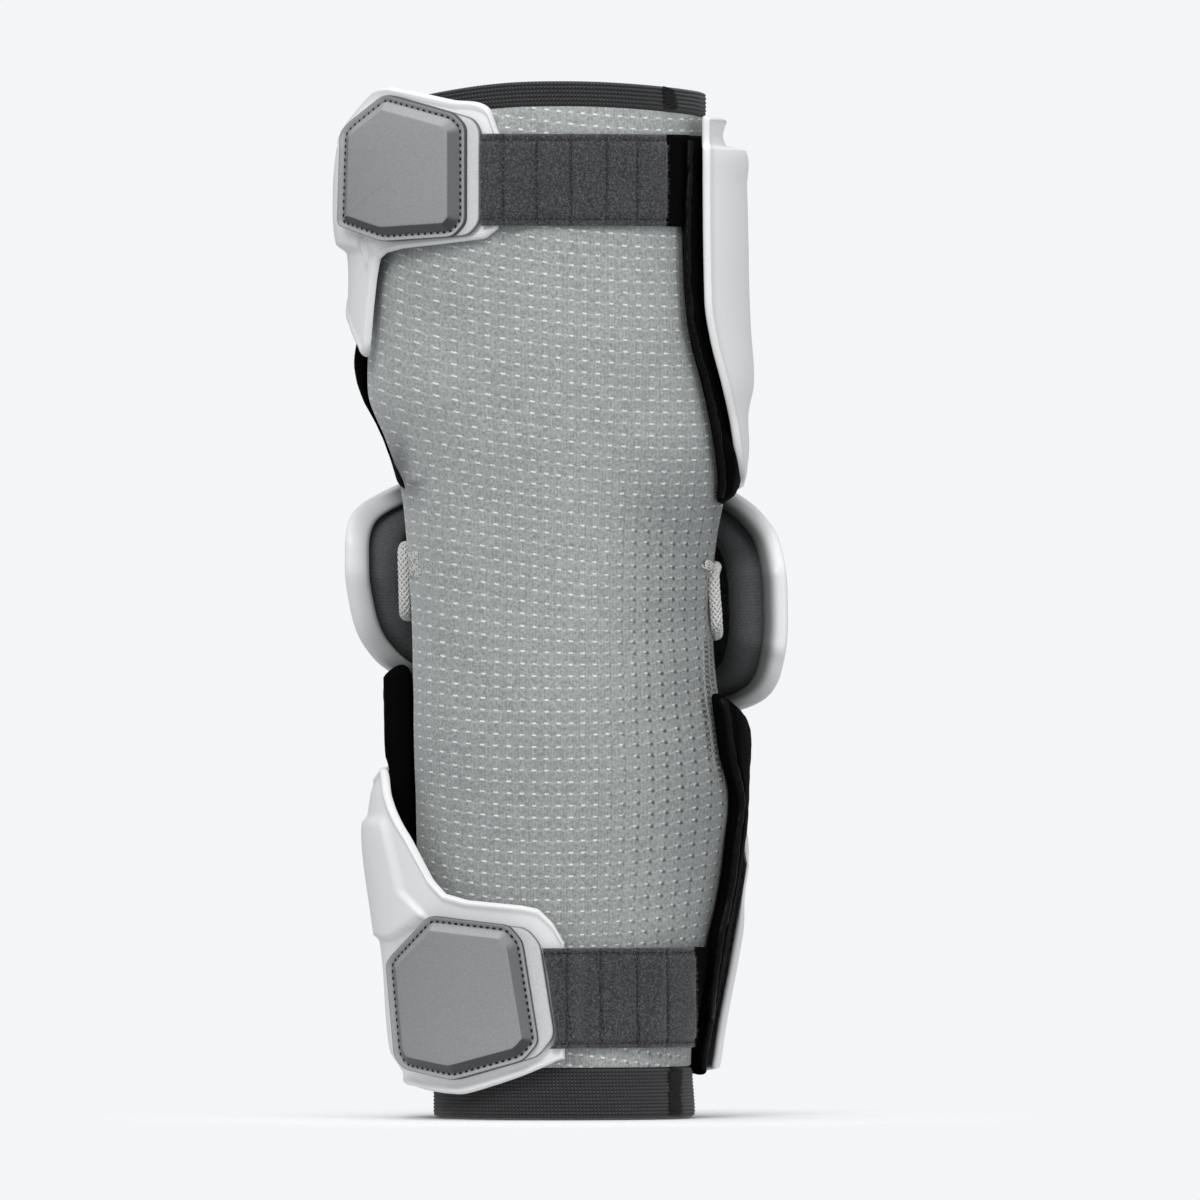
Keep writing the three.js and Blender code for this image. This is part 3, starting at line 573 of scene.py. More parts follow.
class Shader:
    """A material's nodes, made by short calls."""

    def __init__(self, name, color, roughness, **settings):
        self.material = bpy.data.materials.new(name)
        self.material.use_nodes = True
        self.tree = self.material.node_tree
        self.surface = self.tree.nodes["Principled BSDF"]
        self.surface.inputs["Base Color"].default_value = (*color, 1)
        self.surface.inputs["Roughness"].default_value = roughness
        for key, value in settings.items():
            self.surface.inputs[key.replace("_", " ")].default_value = value

    def node(self, kind, **values):
        node = self.tree.nodes.new(kind)
        for key, value in values.items():
            setattr(node, key, value)
        return node

    def put(self, socket, value):
        if isinstance(value, bpy.types.NodeSocket):
            self.tree.links.new(value, socket)
        else:
            socket.default_value = value

    def math(self, operation, a, b=0.0, c=0.0):
        node = self.node("ShaderNodeMath", operation=operation)
        for socket, value in zip(node.inputs, (a, b, c)):
            self.put(socket, value)
        return node.outputs[0]

    def times(self, a, b):
        return self.math("MULTIPLY", a, b)

    def plus(self, a, b):
        return self.math("ADD", a, b)

    def minus(self, a, b):
        return self.math("SUBTRACT", a, b)

    def size(self, value):
        return self.math("ABSOLUTE", value)

    def scaled(self, value, factor, shift):
        """A value times a factor, plus a shift."""
        return self.math("MULTIPLY_ADD", value, factor, shift)

    def ramp(self, value, low, high, start=0.0, end=1.0):
        """A smooth way from start to end while a value goes from low to high."""
        node = self.node("ShaderNodeMapRange", interpolation_type="SMOOTHSTEP")
        given = {"Value": value, "From Min": low, "From Max": high, "To Min": start, "To Max": end}
        for key, one in given.items():
            self.put(node.inputs[key], one)
        return node.outputs["Result"]

    def blend(self, share, one, two, **values):
        """A colour between two."""
        node = self.node("ShaderNodeMix", data_type="RGBA", **values)
        self.put(node.inputs[0], share)
        for socket, color in ((node.inputs[6], one), (node.inputs[7], two)):
            self.put(socket, (*color, 1) if isinstance(color, tuple) else color)
        return node.outputs[2]

    def tinted(self, color, factor):
        """A colour times a value."""
        gray = self.node("ShaderNodeCombineColor")
        for socket in gray.inputs[:3]:
            self.put(socket, factor)
        return self.blend(1, color, gray.outputs[0], blend_type="MULTIPLY")

    def place(self):
        return self.node("ShaderNodeTexCoord").outputs["Object"]

    def noise(self, scale, detail=2.0, roughness=0.5):
        node = self.node("ShaderNodeTexNoise")
        self.put(node.inputs["Vector"], self.place())
        node.inputs["Scale"].default_value = scale
        node.inputs["Detail"].default_value = detail
        node.inputs["Roughness"].default_value = roughness
        return node.outputs[0]

    def mark(self, name):
        """A value that the mesh carries at its points."""
        return self.node("ShaderNodeAttribute", attribute_name=name).outputs["Fac"]

    def uv(self):
        node = self.node("ShaderNodeSeparateXYZ")
        self.put(node.inputs[0], self.node("ShaderNodeUVMap", uv_map="UVMap").outputs[0])
        return node.outputs[0], node.outputs[1]

    def joined(self, x, y):
        node = self.node("ShaderNodeCombineXYZ")
        for socket, value in zip(node.inputs, (x, y)):
            self.put(socket, value)
        return node.outputs[0]

    def color(self, value):
        self.put(self.surface.inputs["Base Color"], value)

    def rough(self, value):
        self.put(self.surface.inputs["Roughness"], value)

    def bump(self, height, distance, strength):
        node = self.node("ShaderNodeBump")
        self.put(node.inputs["Height"], height)
        node.inputs["Distance"].default_value = distance * MM
        node.inputs["Strength"].default_value = strength
        self.put(self.surface.inputs["Normal"], node.outputs[0])


def wave(s, value, pitch):
    """A ridge from 0 to 1 every pitch millimetres."""
    turn = s.times(value, 2 * math.pi / pitch)
    return s.scaled(s.math("COSINE", turn), 0.5, 0.5)


def offset_in_cell(s, value, pitch):
    """How far a place is from the middle of its cell, in millimetres."""
    share = s.math("FRACT", s.math("DIVIDE", value, pitch))
    return s.times(s.minus(share, 0.5), pitch)


def knit_material():
    s = Shader("knit_mesh", (0.31, 0.335, 0.325), 0.95, Specular_IOR_Level=0.2, Sheen_Weight=0.25)
    u, v = s.uv()
    across, up = 4.45, 3.9
    wobble = s.times(s.minus(s.noise(70, 1), 0.5), 0.5)
    du = offset_in_cell(s, s.plus(u, wobble), across)
    dv = offset_in_cell(s, v, up)
    cell = s.joined(s.math("FLOOR", s.math("DIVIDE", u, across)), s.math("FLOOR", s.math("DIVIDE", v, up)))
    dice = s.node("ShaderNodeTexWhiteNoise", noise_dimensions="2D")
    s.put(dice.inputs["Vector"], cell)
    chance = dice.outputs[0]
    opened = s.mark("opened")
    # light dashes of the stitches: the yarn floats, partly their own lighter colour and partly painted
    # highlight where they catch the light
    side = s.size(du)
    drop = s.scaled(s.size(s.minus(side, 0.45)), 0.34, dv)
    long = s.ramp(side, s.scaled(opened, -0.3, 0.55), s.scaled(opened, -0.3, 0.95), 1, 0)
    thin = s.ramp(s.size(s.minus(drop, 0.07)), 0.12, 0.46, 1, 0)
    dash = s.times(long, thin)
    frayed = s.ramp(s.noise(1500, 2, 0.6), 0.3, 0.6, 0.55, 1.1)
    bright = s.times(dash, s.times(frayed, s.scaled(chance, 0.45, 0.68)))
    bright = s.times(bright, s.scaled(opened, -0.35, 1.0))
    bright = s.math("MAXIMUM", bright, s.times(thin, 0.15))
    # dark eyelets beside the stitches where the knit is stretched, coloured near black as painted shade in
    # them
    hole_u = s.size(s.minus(du, 0.95))
    hole_v = s.size(s.plus(dv, 0.5))
    flatter = s.times(s.math("POWER", hole_v, 2.0), 0.6)
    far = s.math("POWER", s.plus(s.math("POWER", hole_u, 2.0), flatter), 0.5)
    hole = s.times(s.ramp(far, 0.25, 0.75, 1, 0), opened)
    wales = wave(s, s.scaled(wobble, 0.4, u), 1.15)
    courses = wave(s, v, 0.65)
    grain = s.noise(900, 2, 0.6)
    patches = s.noise(45, 3, 0.6)
    weave = s.scaled(wales, s.scaled(s.mark("fine"), 0.07, 0.02), 0.93)
    weave = s.times(weave, s.scaled(courses, 0.05, 0.95))
    weave = s.times(weave, s.scaled(grain, 1.2, 0.42))
    speckle = s.noise(3100, 1, 0.7)
    weave = s.times(weave, s.scaled(speckle, 1.5, 0.27))
    weave = s.times(weave, s.scaled(patches, 0.16, 0.93))
    # painted light and shade across the sleeve, from the shade mark
    shade = s.mark("shade")
    base = s.tinted((0.345, 0.363, 0.358), s.times(weave, shade))
    # light colour of the floats, partly painted highlight
    base = s.blend(bright, base, (0.86, 0.88, 0.87))
    base = s.blend(s.times(hole, 0.8), base, (0.03, 0.032, 0.032))
    # gathered edge beside the right pad: near black marks are painted shade in its folds, with lighter
    # threads between
    pucker = s.mark("pucker")
    pitch_u, pitch_v = 3.3, 1.9
    loose = s.times(s.minus(s.noise(420, 2), 0.5), 1.1)
    drawn_u = s.scaled(loose, 1.6, u)
    stagger = s.math("FRACT", s.times(s.math("FLOOR", s.math("DIVIDE", drawn_u, pitch_u)), 0.5))
    drawn_v = s.plus(s.scaled(u, 0.2, v), s.scaled(stagger, pitch_v, loose))
    near_u = s.size(offset_in_cell(s, drawn_u, pitch_u))
    near_v = s.size(offset_in_cell(s, drawn_v, pitch_v))
    drawn = s.times(s.ramp(near_u, 0.85, 1.25, 1, 0), s.ramp(near_v, 0.34, 0.6, 1, 0))
    between = s.times(s.ramp(near_u, 0.9, 1.3), s.ramp(near_v, 0.1, 0.45, 1, 0))
    base = s.blend(s.times(drawn, s.times(pucker, 0.92)), base, (0.02, 0.021, 0.021))
    base = s.blend(s.times(between, s.times(pucker, 0.55)), base, (0.7, 0.72, 0.71))
    # painted shade from the depth mark, beside the pads and the left edge
    base = s.tinted(base, s.mark("depth"))
    s.color(base)
    height = s.plus(s.times(wales, 0.35), s.times(dash, 0.9))
    height = s.plus(height, s.times(grain, 0.5))
    height = s.minus(height, s.times(hole, 1.2))
    s.bump(height, 0.22, 0.7)
    return s.material


def elastic_material():
    s = Shader("ribbed_elastic", (0.035, 0.036, 0.038), 0.9, Specular_IOR_Level=0.25, Sheen_Weight=0.2)
    u = s.uv()[0]
    grain = s.noise(1400, 2, 0.6)
    crest = s.mark("crest")
    slant = s.scaled(crest, 0.6, u)
    twill = wave(s, s.scaled(grain, 0.3, slant), 1.15)
    # painted shade in the valleys between the ribs, lighter on their crests
    tone = s.scaled(crest, 0.7, 0.35)
    tone = s.times(tone, s.scaled(twill, 1.0, 0.38))
    tone = s.times(tone, s.scaled(grain, 0.8, 0.6))
    s.color(s.tinted((0.047, 0.0475, 0.0503), tone))
    s.bump(s.plus(twill, grain), 0.16, 0.7)
    return s.material


def foam_cloth_material(name, color, roughness, shine):
    s = Shader(name, color, roughness, Specular_IOR_Level=shine, Sheen_Weight=0.0)
    grain = s.noise(1500, 2, 0.6)
    folds = s.noise(55, 3, 0.55)
    s.color(s.tinted(color, s.scaled(grain, 0.9, 0.55)))
    s.rough(s.scaled(folds, 0.3, roughness - 0.15))
    s.bump(s.plus(s.times(grain, 0.25), s.times(folds, 1.6)), 0.5, 0.6)
    return s.material


def plastic_material():
    white = (0.83, 0.834, 0.838)
    s = Shader("white_shell", white, 0.36, Specular_IOR_Level=0.45)
    grain = s.noise(1100, 2, 0.5)
    clouds = s.noise(18, 2, 0.5)
    tone = s.scaled(grain, 0.05, 0.955)
    tone = s.times(tone, s.scaled(clouds, 0.05, 0.975))
    # painted shade from the depth mark: along the shells' beads, and on the cap's lip, rim ends and inside
    s.color(s.tinted(white, s.times(tone, s.mark("depth"))))
    s.rough(s.scaled(s.noise(140, 3, 0.6), 0.2, 0.3))
    s.bump(grain, 0.03, 0.5)
    return s.material


def liner_material():
    s = Shader("dark_liner", (0.085, 0.087, 0.09), 0.9, Specular_IOR_Level=0.2, Sheen_Weight=0.2)
    u, v = s.uv()
    knit = s.times(wave(s, u, 0.8), wave(s, v, 0.8))
    grain = s.noise(1300, 2, 0.6)
    tone = s.times(s.scaled(knit, 0.3, 0.8), s.scaled(grain, 0.9, 0.55))
    # painted shade from the depth mark, at the liner's edge beside the cap's rim
    s.color(s.tinted((0.135, 0.138, 0.143), s.times(tone, s.mark("depth"))))
    s.bump(s.plus(knit, grain), 0.12, 0.6)
    return s.material


def strap_material():
    s = Shader("fuzzy_strap", (0.05, 0.051, 0.054), 1.0, Specular_IOR_Level=0.15, Sheen_Weight=0.4)
    fluff = s.noise(900, 3, 0.7)
    heather = s.noise(1500, 2, 0.6)
    tone = s.scaled(s.ramp(heather, 0.4, 0.66), 0.9, 0.6)
    tone = s.times(tone, s.scaled(fluff, 1.5, 0.3))
    # painted shade from the depth mark, along the channels and seams
    s.color(s.tinted((0.058, 0.059, 0.062), s.times(tone, s.mark("depth"))))
    s.bump(fluff, 0.5, 0.8)
    return s.material


def pile_material():
    s = Shader("strap_pile", (0.1, 0.1, 0.105), 1.0, Specular_IOR_Level=0.1, Sheen_Weight=0.3)
    s.color(s.blend(s.ramp(s.mark("light"), 0.55, 1.0), (0.045, 0.046, 0.049), (0.3, 0.3, 0.31)))
    return s.material


def webbing_material():
    s = Shader("black_webbing", (0.002, 0.002, 0.0022), 0.85, Specular_IOR_Level=0.04)
    u, v = s.uv()
    weave = s.times(wave(s, s.plus(u, v), 0.9), wave(s, s.minus(u, v), 0.9))
    s.color(s.tinted((0.0025, 0.0025, 0.0027), s.scaled(weave, 0.9, 0.5)))
    s.bump(weave, 0.15, 0.5)
    return s.material


def tab_material(name, color, grain_depth):
    s = Shader(name, color, 0.6, Specular_IOR_Level=0.35)
    grain = s.noise(1700, 2, 0.65)
    tone = s.scaled(grain, 0.5, 0.76)
    # painted light and shade from the depth mark, by the side each slope of the tab faces
    s.color(s.tinted(color, s.times(tone, s.mark("depth"))))
    s.rough(s.scaled(grain, 0.2, 0.5))
    s.bump(grain, grain_depth, 0.6)
    return s.material


def thread_material(name, color):
    s = Shader(name, color, 0.8, Specular_IOR_Level=0.25)
    fibres = s.noise(2600, 2, 0.6)
    s.color(s.tinted(color, s.scaled(fibres, 0.6, 0.7)))
    s.bump(fibres, 0.08, 0.5)
    return s.material


knit = knit_material()
elastic = elastic_material()
black_cloth = foam_cloth_material("black_foam", (0.0014, 0.0014, 0.0016), 0.75, 0.03)
binding = foam_cloth_material("pad_binding", (0.0016, 0.0016, 0.0018), 0.4, 0.09)
shell_white = plastic_material()
liner_cloth = liner_material()
strap_cloth = strap_material()
strap_pile = pile_material()
webbing = webbing_material()
tab_edge_grey = tab_material("tab_base", (0.33, 0.333, 0.338), 0.05)
tab_strip_light = tab_material("tab_strip", (0.56, 0.565, 0.57), 0.03)
tab_panel_grey = tab_material("tab_panel", (0.265, 0.268, 0.274), 0.06)
cord_white = thread_material("white_cord", (0.64, 0.64, 0.62))
black_thread = thread_material("black_thread", (0.012, 0.012, 0.013))


def belongs(piece, node):
    """Hangs a piece under the root and hides the solid that it stands for."""
    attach(piece, "root")
    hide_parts(node)


# Sleeve


def pad_edge_across(height):
    """Where the pads' near right edges meet the sleeve, in millimetres across."""
    rise = rise_of(height)
    upper = along(UPPER_PAD_EDGES, "across", "rise", rise)
    lower = along(FOREARM_PAD_EDGES, "across", "rise", rise)
    return HALF_WIDTH * np.where(height > 0, upper, lower)


def row_shift(across, height):
    """How much a row of stitches lies below its height at the middle."""
    line = np.linspace(-95, 95, 381)
    names = [*ROW_HEIGHTS, "high"]
    shifts = []
    for name in names:
        slope = along(ROW_SLOPES, name, "across", line)
        total = np.concatenate([[0], np.cumsum((slope[1:] + slope[:-1]) / 2 * np.diff(line))])
        total -= np.interp(0, line, total)
        shifts.append(np.interp(across, line, total))
    out = shifts[0]
    for name, shift in zip(names, shifts[1:]):
        out = mix(out, shift, ease(*ROW_HEIGHTS[name], height))
    return out


def sleeve_lift(a, h):
    """Waves of the knit, and soft creases at the inside of the elbow, towards the right."""
    plain = wrapped(a, h, 0.0)
    x, z = plain[..., 0], plain[..., 2]
    crease = hump(z + 18 - 0.25 * x, 7) * ease(5, 32, x) * -0.9
    crease += hump(z - 26 + 0.2 * x, 9) * ease(8, 34, x) * -0.5
    crease += hump(z + 52 - 0.5 * x, 8) * ease(0, 30, x) * -0.6
    front = ease(-0.1, 0.5, np.cos(np.radians(a)))
    calm = 1 - ease(110, 120, h) - ease(-105, -115, h)
    return (ripple(plain, 46, 3) * 0.35 + crease * front) * np.clip(calm, 0, 1)


def sleeve_travel(angle):
    """Place round the sleeve for its stitches, mostly as wide as the front view shows it."""
    turning = 0.35
    turn = np.radians(np.abs(angle))
    fold = np.where(turn > math.pi / 2, math.pi - turn, turn)
    quarter = turning * math.pi / 2 + (1 - turning)
    stretch = turning * fold + (1 - turning) * np.sin(fold)
    travel = np.where(turn > math.pi / 2, 2 * quarter - stretch, stretch) * -np.sign(angle)
    return travel * (0.5 * (HALF_DEPTH + HALF_WIDTH))


def sleeve_marks(a, points):
    """Painted shade beside the pads and the left edge (depth), stretch, painted light and shade (shade),
    gathers and fineness of the knit at each point.
    """
    x, z = points[..., 0], points[..., 2]
    facing = np.cos(np.radians(a)) > 0
    # painted shade: darker towards the pads' near edges, 0.8 on the whole back, no darker than 0.75 beside
    # the cap
    gap = pad_edge_across(z) - x
    reach = mix(3.2, 5.5, ease(60, 20, np.abs(z - 60)))
    reach = mix(reach, 8, ease(-72, -92, z))
    depth = np.where(facing, ease(-0.6, 1, gap / reach), 0.8)
    depth = mix(depth, 1.0, ease(152.5, 155, z))
    near_cap = (z > -50) & (z < 42)
    depth = np.where(near_cap & facing, np.maximum(depth, 0.75), depth)
    # painted shade along the black edge at the left, around 44 mm up
    left_gap = x + np.where(z > 40, 56.0, 51.5)
    depth = depth * (1 - 0.75 * (hump(z - 44, 9) * ease(7, 0, left_gap) * facing))
    opened = ease(4, 32, x) * ease(55, 10, z) * mix(1, 0.75, ease(-60, -120, z))
    # painted light at the left, and painted shade lower down and to the right
    shade = mix(1.1, 1.0, ease(-64, -25, x)) * mix(1, 0.92, ease(0, -60, z))
    shade = shade * mix(1, 0.72, ease(10, 46, x + 0.12 * z) * ease(62, 30, z))
    gathered = np.interp(z, *GATHERED_FROM)
    pucker = ease(gathered - 0.6, gathered + 0.6, x) * ease(-11, -15, z) * ease(-64, -59, z) * facing
    fine = ease(-25, 5, x) * 0.8 + 0.2
    return {"depth": depth, "opened": opened * facing, "shade": shade, "pucker": pucker, "fine": fine}


def make_sleeve():
    top = UPPER_LENGTH - (TOP_CUFF + CUFF_GAP)
    bottom = BOTTOM_CUFF + CUFF_GAP - LOWER_LENGTH
    angle = np.linspace(0, 360, 200, endpoint=False) - 180
    share = steps(208, 0.003, 4)
    a, t = np.meshgrid(angle, share, indexing="ij")
    h = mix(bottom, top - cuff_drop(a), t)
    lift = sleeve_lift(a, h)
    outer = wrapped(a, h, lift)
    inner = wrapped(a, h, lift - WALL)
    u = np.repeat(sleeve_travel(np.append(angle, 180.0))[:, None], len(share), axis=1)
    around = np.concatenate([outer, outer[:1]], axis=0)
    v = around[..., 2] - row_shift(around[..., 0], around[..., 2])
    piece = slab("knit_sleeve", outer, inner, knit, ring=True, uv=(u, v), marks=sleeve_marks(a, outer))
    belongs(piece, "sleeve")


def cuff_drop(angle):
    """How much lower the top cuff sits at the sides than at the front and back."""
    side = np.sin(np.radians(angle))
    return np.where(side > 0, 6 * np.abs(side) ** 3, 3 * side**2)


def make_cuff(name, node, bottom, top, drop, pitch, depth):
    """A ribbed elastic band between two heights, lowered by a drop that depends on the angle."""
    angle = np.linspace(0, 360, 192, endpoint=False) - 180
    ribs = round((top - bottom) / pitch)
    share = steps(ribs * 7 + 1, 0.03, 3)
    a, t = np.meshgrid(angle, share, indexing="ij")
    h = mix(bottom - drop(a), top - drop(a), t)
    crest = 0.5 + 0.5 * np.cos(2 * math.pi * (t * ribs - 0.5))
    lift = depth * crest + ripple(wrapped(a, h, 0.0), 40, 8) * 0.12
    outer = wrapped(a, h, lift)
    inner = wrapped(a, h, -CUFF_WALL - depth * 0.6 * (crest - 0.5))
    piece = slab(name, outer, inner, elastic, ring=True, marks={"crest": crest})
    belongs(piece, node)


def make_bartack(node, across, bottom, top, width, lean):
    """A block of close stitches across a cuff."""
    dice = np.random.default_rng(5)
    parts = []
    for h in np.linspace(bottom + 0.3, top - 0.3, max(8, int((top - bottom) / 0.42))):
        middle = across + lean * (h - bottom) + dice.normal(0, 0.22)
        wide = width * (0.72 + 0.3 * dice.random())
        x = np.linspace(middle - wide / 2, middle + wide / 2, 7)
        h = h + np.linspace(-1, 1, 7) * dice.normal(0, 0.3)
        sag = 0.45 + 0.18 * np.sin(np.linspace(0, math.pi, 7))
        parts.append(tube(wrapped(round_at(x, h, no_lift, *FRONT_HALF), h, sag), 0.3, 6))
    points, faces = joined(parts)
    belongs(add_mesh(f"{node}_bartack", points, faces, black_thread), node)


# Shells and pads


def shell_grids(form, limits, wing, edge, columns, rows, relief, close_rows=None):
    """Outer and inner grids of a shell, and how far their points are from its border."""
    first, last = limits["round"][0], limits["round"][-1]
    u = steps(columns, 0.008, 6)
    v = steps(rows, 0.022, 6)
    if close_rows is not None:
        v = np.unique(np.concatenate([v, np.linspace(*close_rows)]))
    nominal, share = np.meshgrid(mix(first, last, u), v, indexing="ij")
    low = height_of(along(limits, "bottom", "round", nominal))
    high = height_of(along(limits, "top", "round", nominal))

    def lift(r, h):
        return shell_lift(form, r, h)

    across, up = np.array(wing).T
    turn = np.maximum.accumulate(round_at(across, up, lift, *LEFT_HALF))
    on_wing = nominal < turn[-1]
    wing_height = np.interp(nominal, turn, up)
    if form is UPPER:
        low = np.where(on_wing, wing_height, low)
    else:
        high = np.where(on_wing, wing_height, high)
    height = mix(low, high, share)
    round_ = nominal
    if edge is not None:
        spread = np.maximum(0, (nominal - SPREAD_FROM) / (last - SPREAD_FROM))
        round_ = mix(np.minimum(nominal, SPREAD_FROM), edge(height, lift), spread)
    over = lift(round_, height)
    plain = wrapped(round_, height, over)
    distance = border_distance(plain, False)
    rim = ease(0, 0.9, distance) * ease(BEAD_WIDTH + 1.6, BEAD_WIDTH, distance)
    outer = wrapped(round_, height, over + (BEAD_HEIGHT * rim - 0.1 + relief(plain, round_)))
    inner = wrapped(round_, height, over - SHELL_THICKNESS)
    return outer, inner, distance


def add_shell(kind, grids, bead_shade, place, width):
    """A shell from its grids, with a fine line of painted shade along its bead."""
    outer, inner, distance = grids
    depth = 1 - bead_shade * hump(distance - place, width)
    piece = slab(f"{kind}_shell_skin", outer, inner, shell_white, edge=1.3, marks={"depth": depth})
    belongs(piece, f"{kind}_shell")


def make_upper_shell():
    def edge(height, lift):
        across = HALF_WIDTH * along(UPPER_EDGE, "across", "rise", rise_of(height))
        return round_at(across, height, lift, 272, 330)

    def relief(points, round_):
        """Shallow step between the plate at the right and the rolled end over it."""
        x, y, z = np.moveaxis(points, -1, 0)
        return np.exp(-(((x - 51.5) / 1.6) ** 2) - (((z - 154.6) / 0.9) ** 2)) * -0.5 * (y < 12)

    close_rows = (0.88, 0.945, 13)
    grids = shell_grids(UPPER, UPPER_LIMITS, UPPER_WING_EDGE, edge, 260, 84, relief, close_rows)
    add_shell("upper_arm", grids, 0.22, 1.35, 0.35)


def make_forearm_shell():
    def relief(points, round_):
        """Raised block over the tab, cut off along the tab's upper left side, and a flatter right end."""
        x, y, z = np.moveaxis(points, -1, 0)
        slant = (z + 113.3) - 0.66 * np.maximum(0, x + 57)
        side = np.interp(z, *BLOCK_END) - x
        block = ease(0, 1.6, slant) * ease(-71.5, -74.5, z) * ease(0, 1.8, side) * ease(30, 20, y)
        return 1.7 * block - 1.8 * ease(248, 262, round_) * ease(-112, -96, z)

    grids = shell_grids(FOREARM, FOREARM_LIMITS, FOREARM_WING_EDGE, None, 250, 90, relief)
    add_shell("forearm", grids, 0.15, 2.0, 0.5)


def cap_rim_height(across, above):
    """Height of the upper or the lower half of the cap's rim at places across."""
    rim = closed_curve(CAP_RIM, 400)
    half = rim[rim[:, 1] > rim_slope(rim[:, 0])] if above else rim[rim[:, 1] <= rim_slope(rim[:, 0])]
    half = half[np.argsort(half[:, 0])]
    return np.interp(across, half[:, 0], half[:, 1])


def rim_slope(across):
    """Height of the line between the two ends of the cap."""
    return 3.5 - across * 0.075


def make_binding(name, node, line, seed):
    """The bound edge of a pad along its near right side, slightly gathered."""
    line = resampled(line, 0.55)
    line = line + unit(line * np.array([1, 1, 0])) * 0.5 + ripple(line, 12, seed + 3)[:, None] * 0.3
    points, faces = tube(line, 1.35 + 0.16 * ripple(line, 3.2, seed + 5, 2), 14)
    belongs(add_mesh(name, points, faces, binding), node)


def make_pad(name, node, form, edges, far, seed, gaps):
    """A foam pad between the cap's rim and a far end, a share of the arm's length."""
    above = far > 0
    way = 1 if above else -1
    a, t = np.meshgrid(steps(150, 0.02, 7), steps(64, 0.03, 6), indexing="ij")
    guess = mix(92, 285, a)
    near = wrapped(guess, way * CAP_HALF_HEIGHT, 0.0)
    rim = cap_rim_height(near[..., 0], above) + way * np.interp(guess, *gaps)
    height = mix(rim, height_of(far), t) if above else mix(height_of(far), rim, t)
    rise = rise_of(height)
    start = along(edges, "start", "rise", rise)
    end = round_at(HALF_WIDTH * along(edges, "across", "rise", rise) - 2.4, height, no_lift, 272, 332)
    round_ = mix(start, end, a)
    full = PAD_FILL * (shell_lift(form, round_, height) - SHELL_THICKNESS) - PAD_SEAT
    thin = np.minimum(form["pad_edge"], full)
    lift = mix(thin, full, ease(0, 0.1, np.minimum(a, 1 - a)))
    lift = mix(np.minimum(lift, 0.6 * full), lift, ease(0, 4.5, np.abs(height - rim)))
    outer = wrapped(round_, height, lift)
    inside = border_distance(outer, False)
    lift = lift + ripple(outer, 9, seed, 2) * 0.22 * ease(0, 3, inside)
    if above:
        # fuller where the shell doesn't cover it
        lift = lift + 2.0 * hump(height - 77, 10) * ease(74, 82, round_) * ease(112, 96, round_)
        lift = lift + 2.8 * ease(60, 45, height) * ease(252, 264, round_) * ease(0, 4, inside)
    outer = wrapped(round_, height, lift)
    inner = wrapped(round_, height, PAD_SEAT * 0.6)
    piece = slab(name, outer, inner, black_cloth, edge=2.4)
    belongs(piece, node)
    near_side = wrapped(round_[-1], height[-1], mix(PAD_SEAT, lift[-1], 0.62))[4:-4]
    make_binding(name + "_binding", node, near_side, seed)


# Elbow cap and its liner

LINER_FACE = HALF_DEPTH * 1.22 + SEAT
LINER_BACK = LINER_FACE + LINER_THICKNESS
CAP_INSIDE = LINER_BACK + SEAT
CAP_APEX = CAP_INSIDE + CAP_WALL
CAP_MIDDLE = np.array([0.0, CAP_CENTRE])


def cap_points(rim, share, inset_by, back, apex, ahead):
    """Points of the cap: rim holds its outline, share leads from its middle, back to its apex."""
    x = np.clip(rim[..., 0] / CAP_HALF_WIDTH, -1, 1)
    mouth = mix(MOUTH_AT_SIDES, MOUTH_AT_MIDDLE, np.maximum(0, 1 - x * x) ** MOUTH_CURVE)
    inward = -rim / np.linalg.norm(rim, axis=-1, keepdims=True)
    flat = CAP_MIDDLE + (rim - CAP_MIDDLE) * share[..., None] + inward * inset_by[..., None]
    return np.stack([flat[..., 0], mix(mouth, apex, back) - ahead, flat[..., 1]], axis=-1)


def bowl(name, rows, material, sides, shade=None):
    """A closed bowl from rows of share, inset, back, apex, ahead and tone (painted shade), out from its
    middle and back.
    """
    rim = closed_curve(CAP_RIM, sides)
    share, inset_by, back, apex, ahead, tone = np.array(rows).T[:, None, :]
    grid = cap_points(rim[:, None, :], share, inset_by, back, apex, ahead)
    index = np.arange(sides * (len(rows) - 2)).reshape(sides, -1)
    after = np.roll(index, -1, axis=0)
    faces, corners = grid_faces(index, True)
    start = fan(index.size, after[:, 0], index[:, 0])
    end = fan(index.size + 1, index[:, -1], after[:, -1])
    points = np.concatenate([grid[:, 1:-1].reshape(-1, 3), grid[0, :1], grid[0, -1:]])
    far = lengths(grid[:, 1:-1], 1)
    far = np.concatenate([far, far[:1]], axis=0)
    wide = np.linspace(0, 80 * math.pi, sides + 1)
    spots = np.stack([np.stack([wide[a], far[a, b]], axis=-1) for a, b in corners], axis=1)
    uvs = np.concatenate([spots, np.zeros((2 * sides, 4, 2))])
    # painted shade from the rows' tones, darkened further by the shade function
    depth = np.repeat(tone[:, 1:-1], sides, axis=0)
    if shade is not None:
        depth = depth * shade(rim[:, None, 0], inset_by[:, 1:-1])
    depth = np.concatenate([depth.ravel(), tone[0, [0, -1]]])
    return add_mesh(name, points, np.concatenate([faces, start, end]), material, uvs, {"depth": depth})


def dome(inset_by, apex, count, reach, tone=1.0):
    """Rows of a dome from its middle towards its mouth: share, inset, back, apex, ahead, tone."""
    rows = []
    for t in np.linspace(0, math.pi / 2 * reach, count):
        share = math.sin(t) ** 0.8
        rows.append((share, inset_by * share, math.cos(t) ** 0.8, apex, 0.0, tone))
    return rows


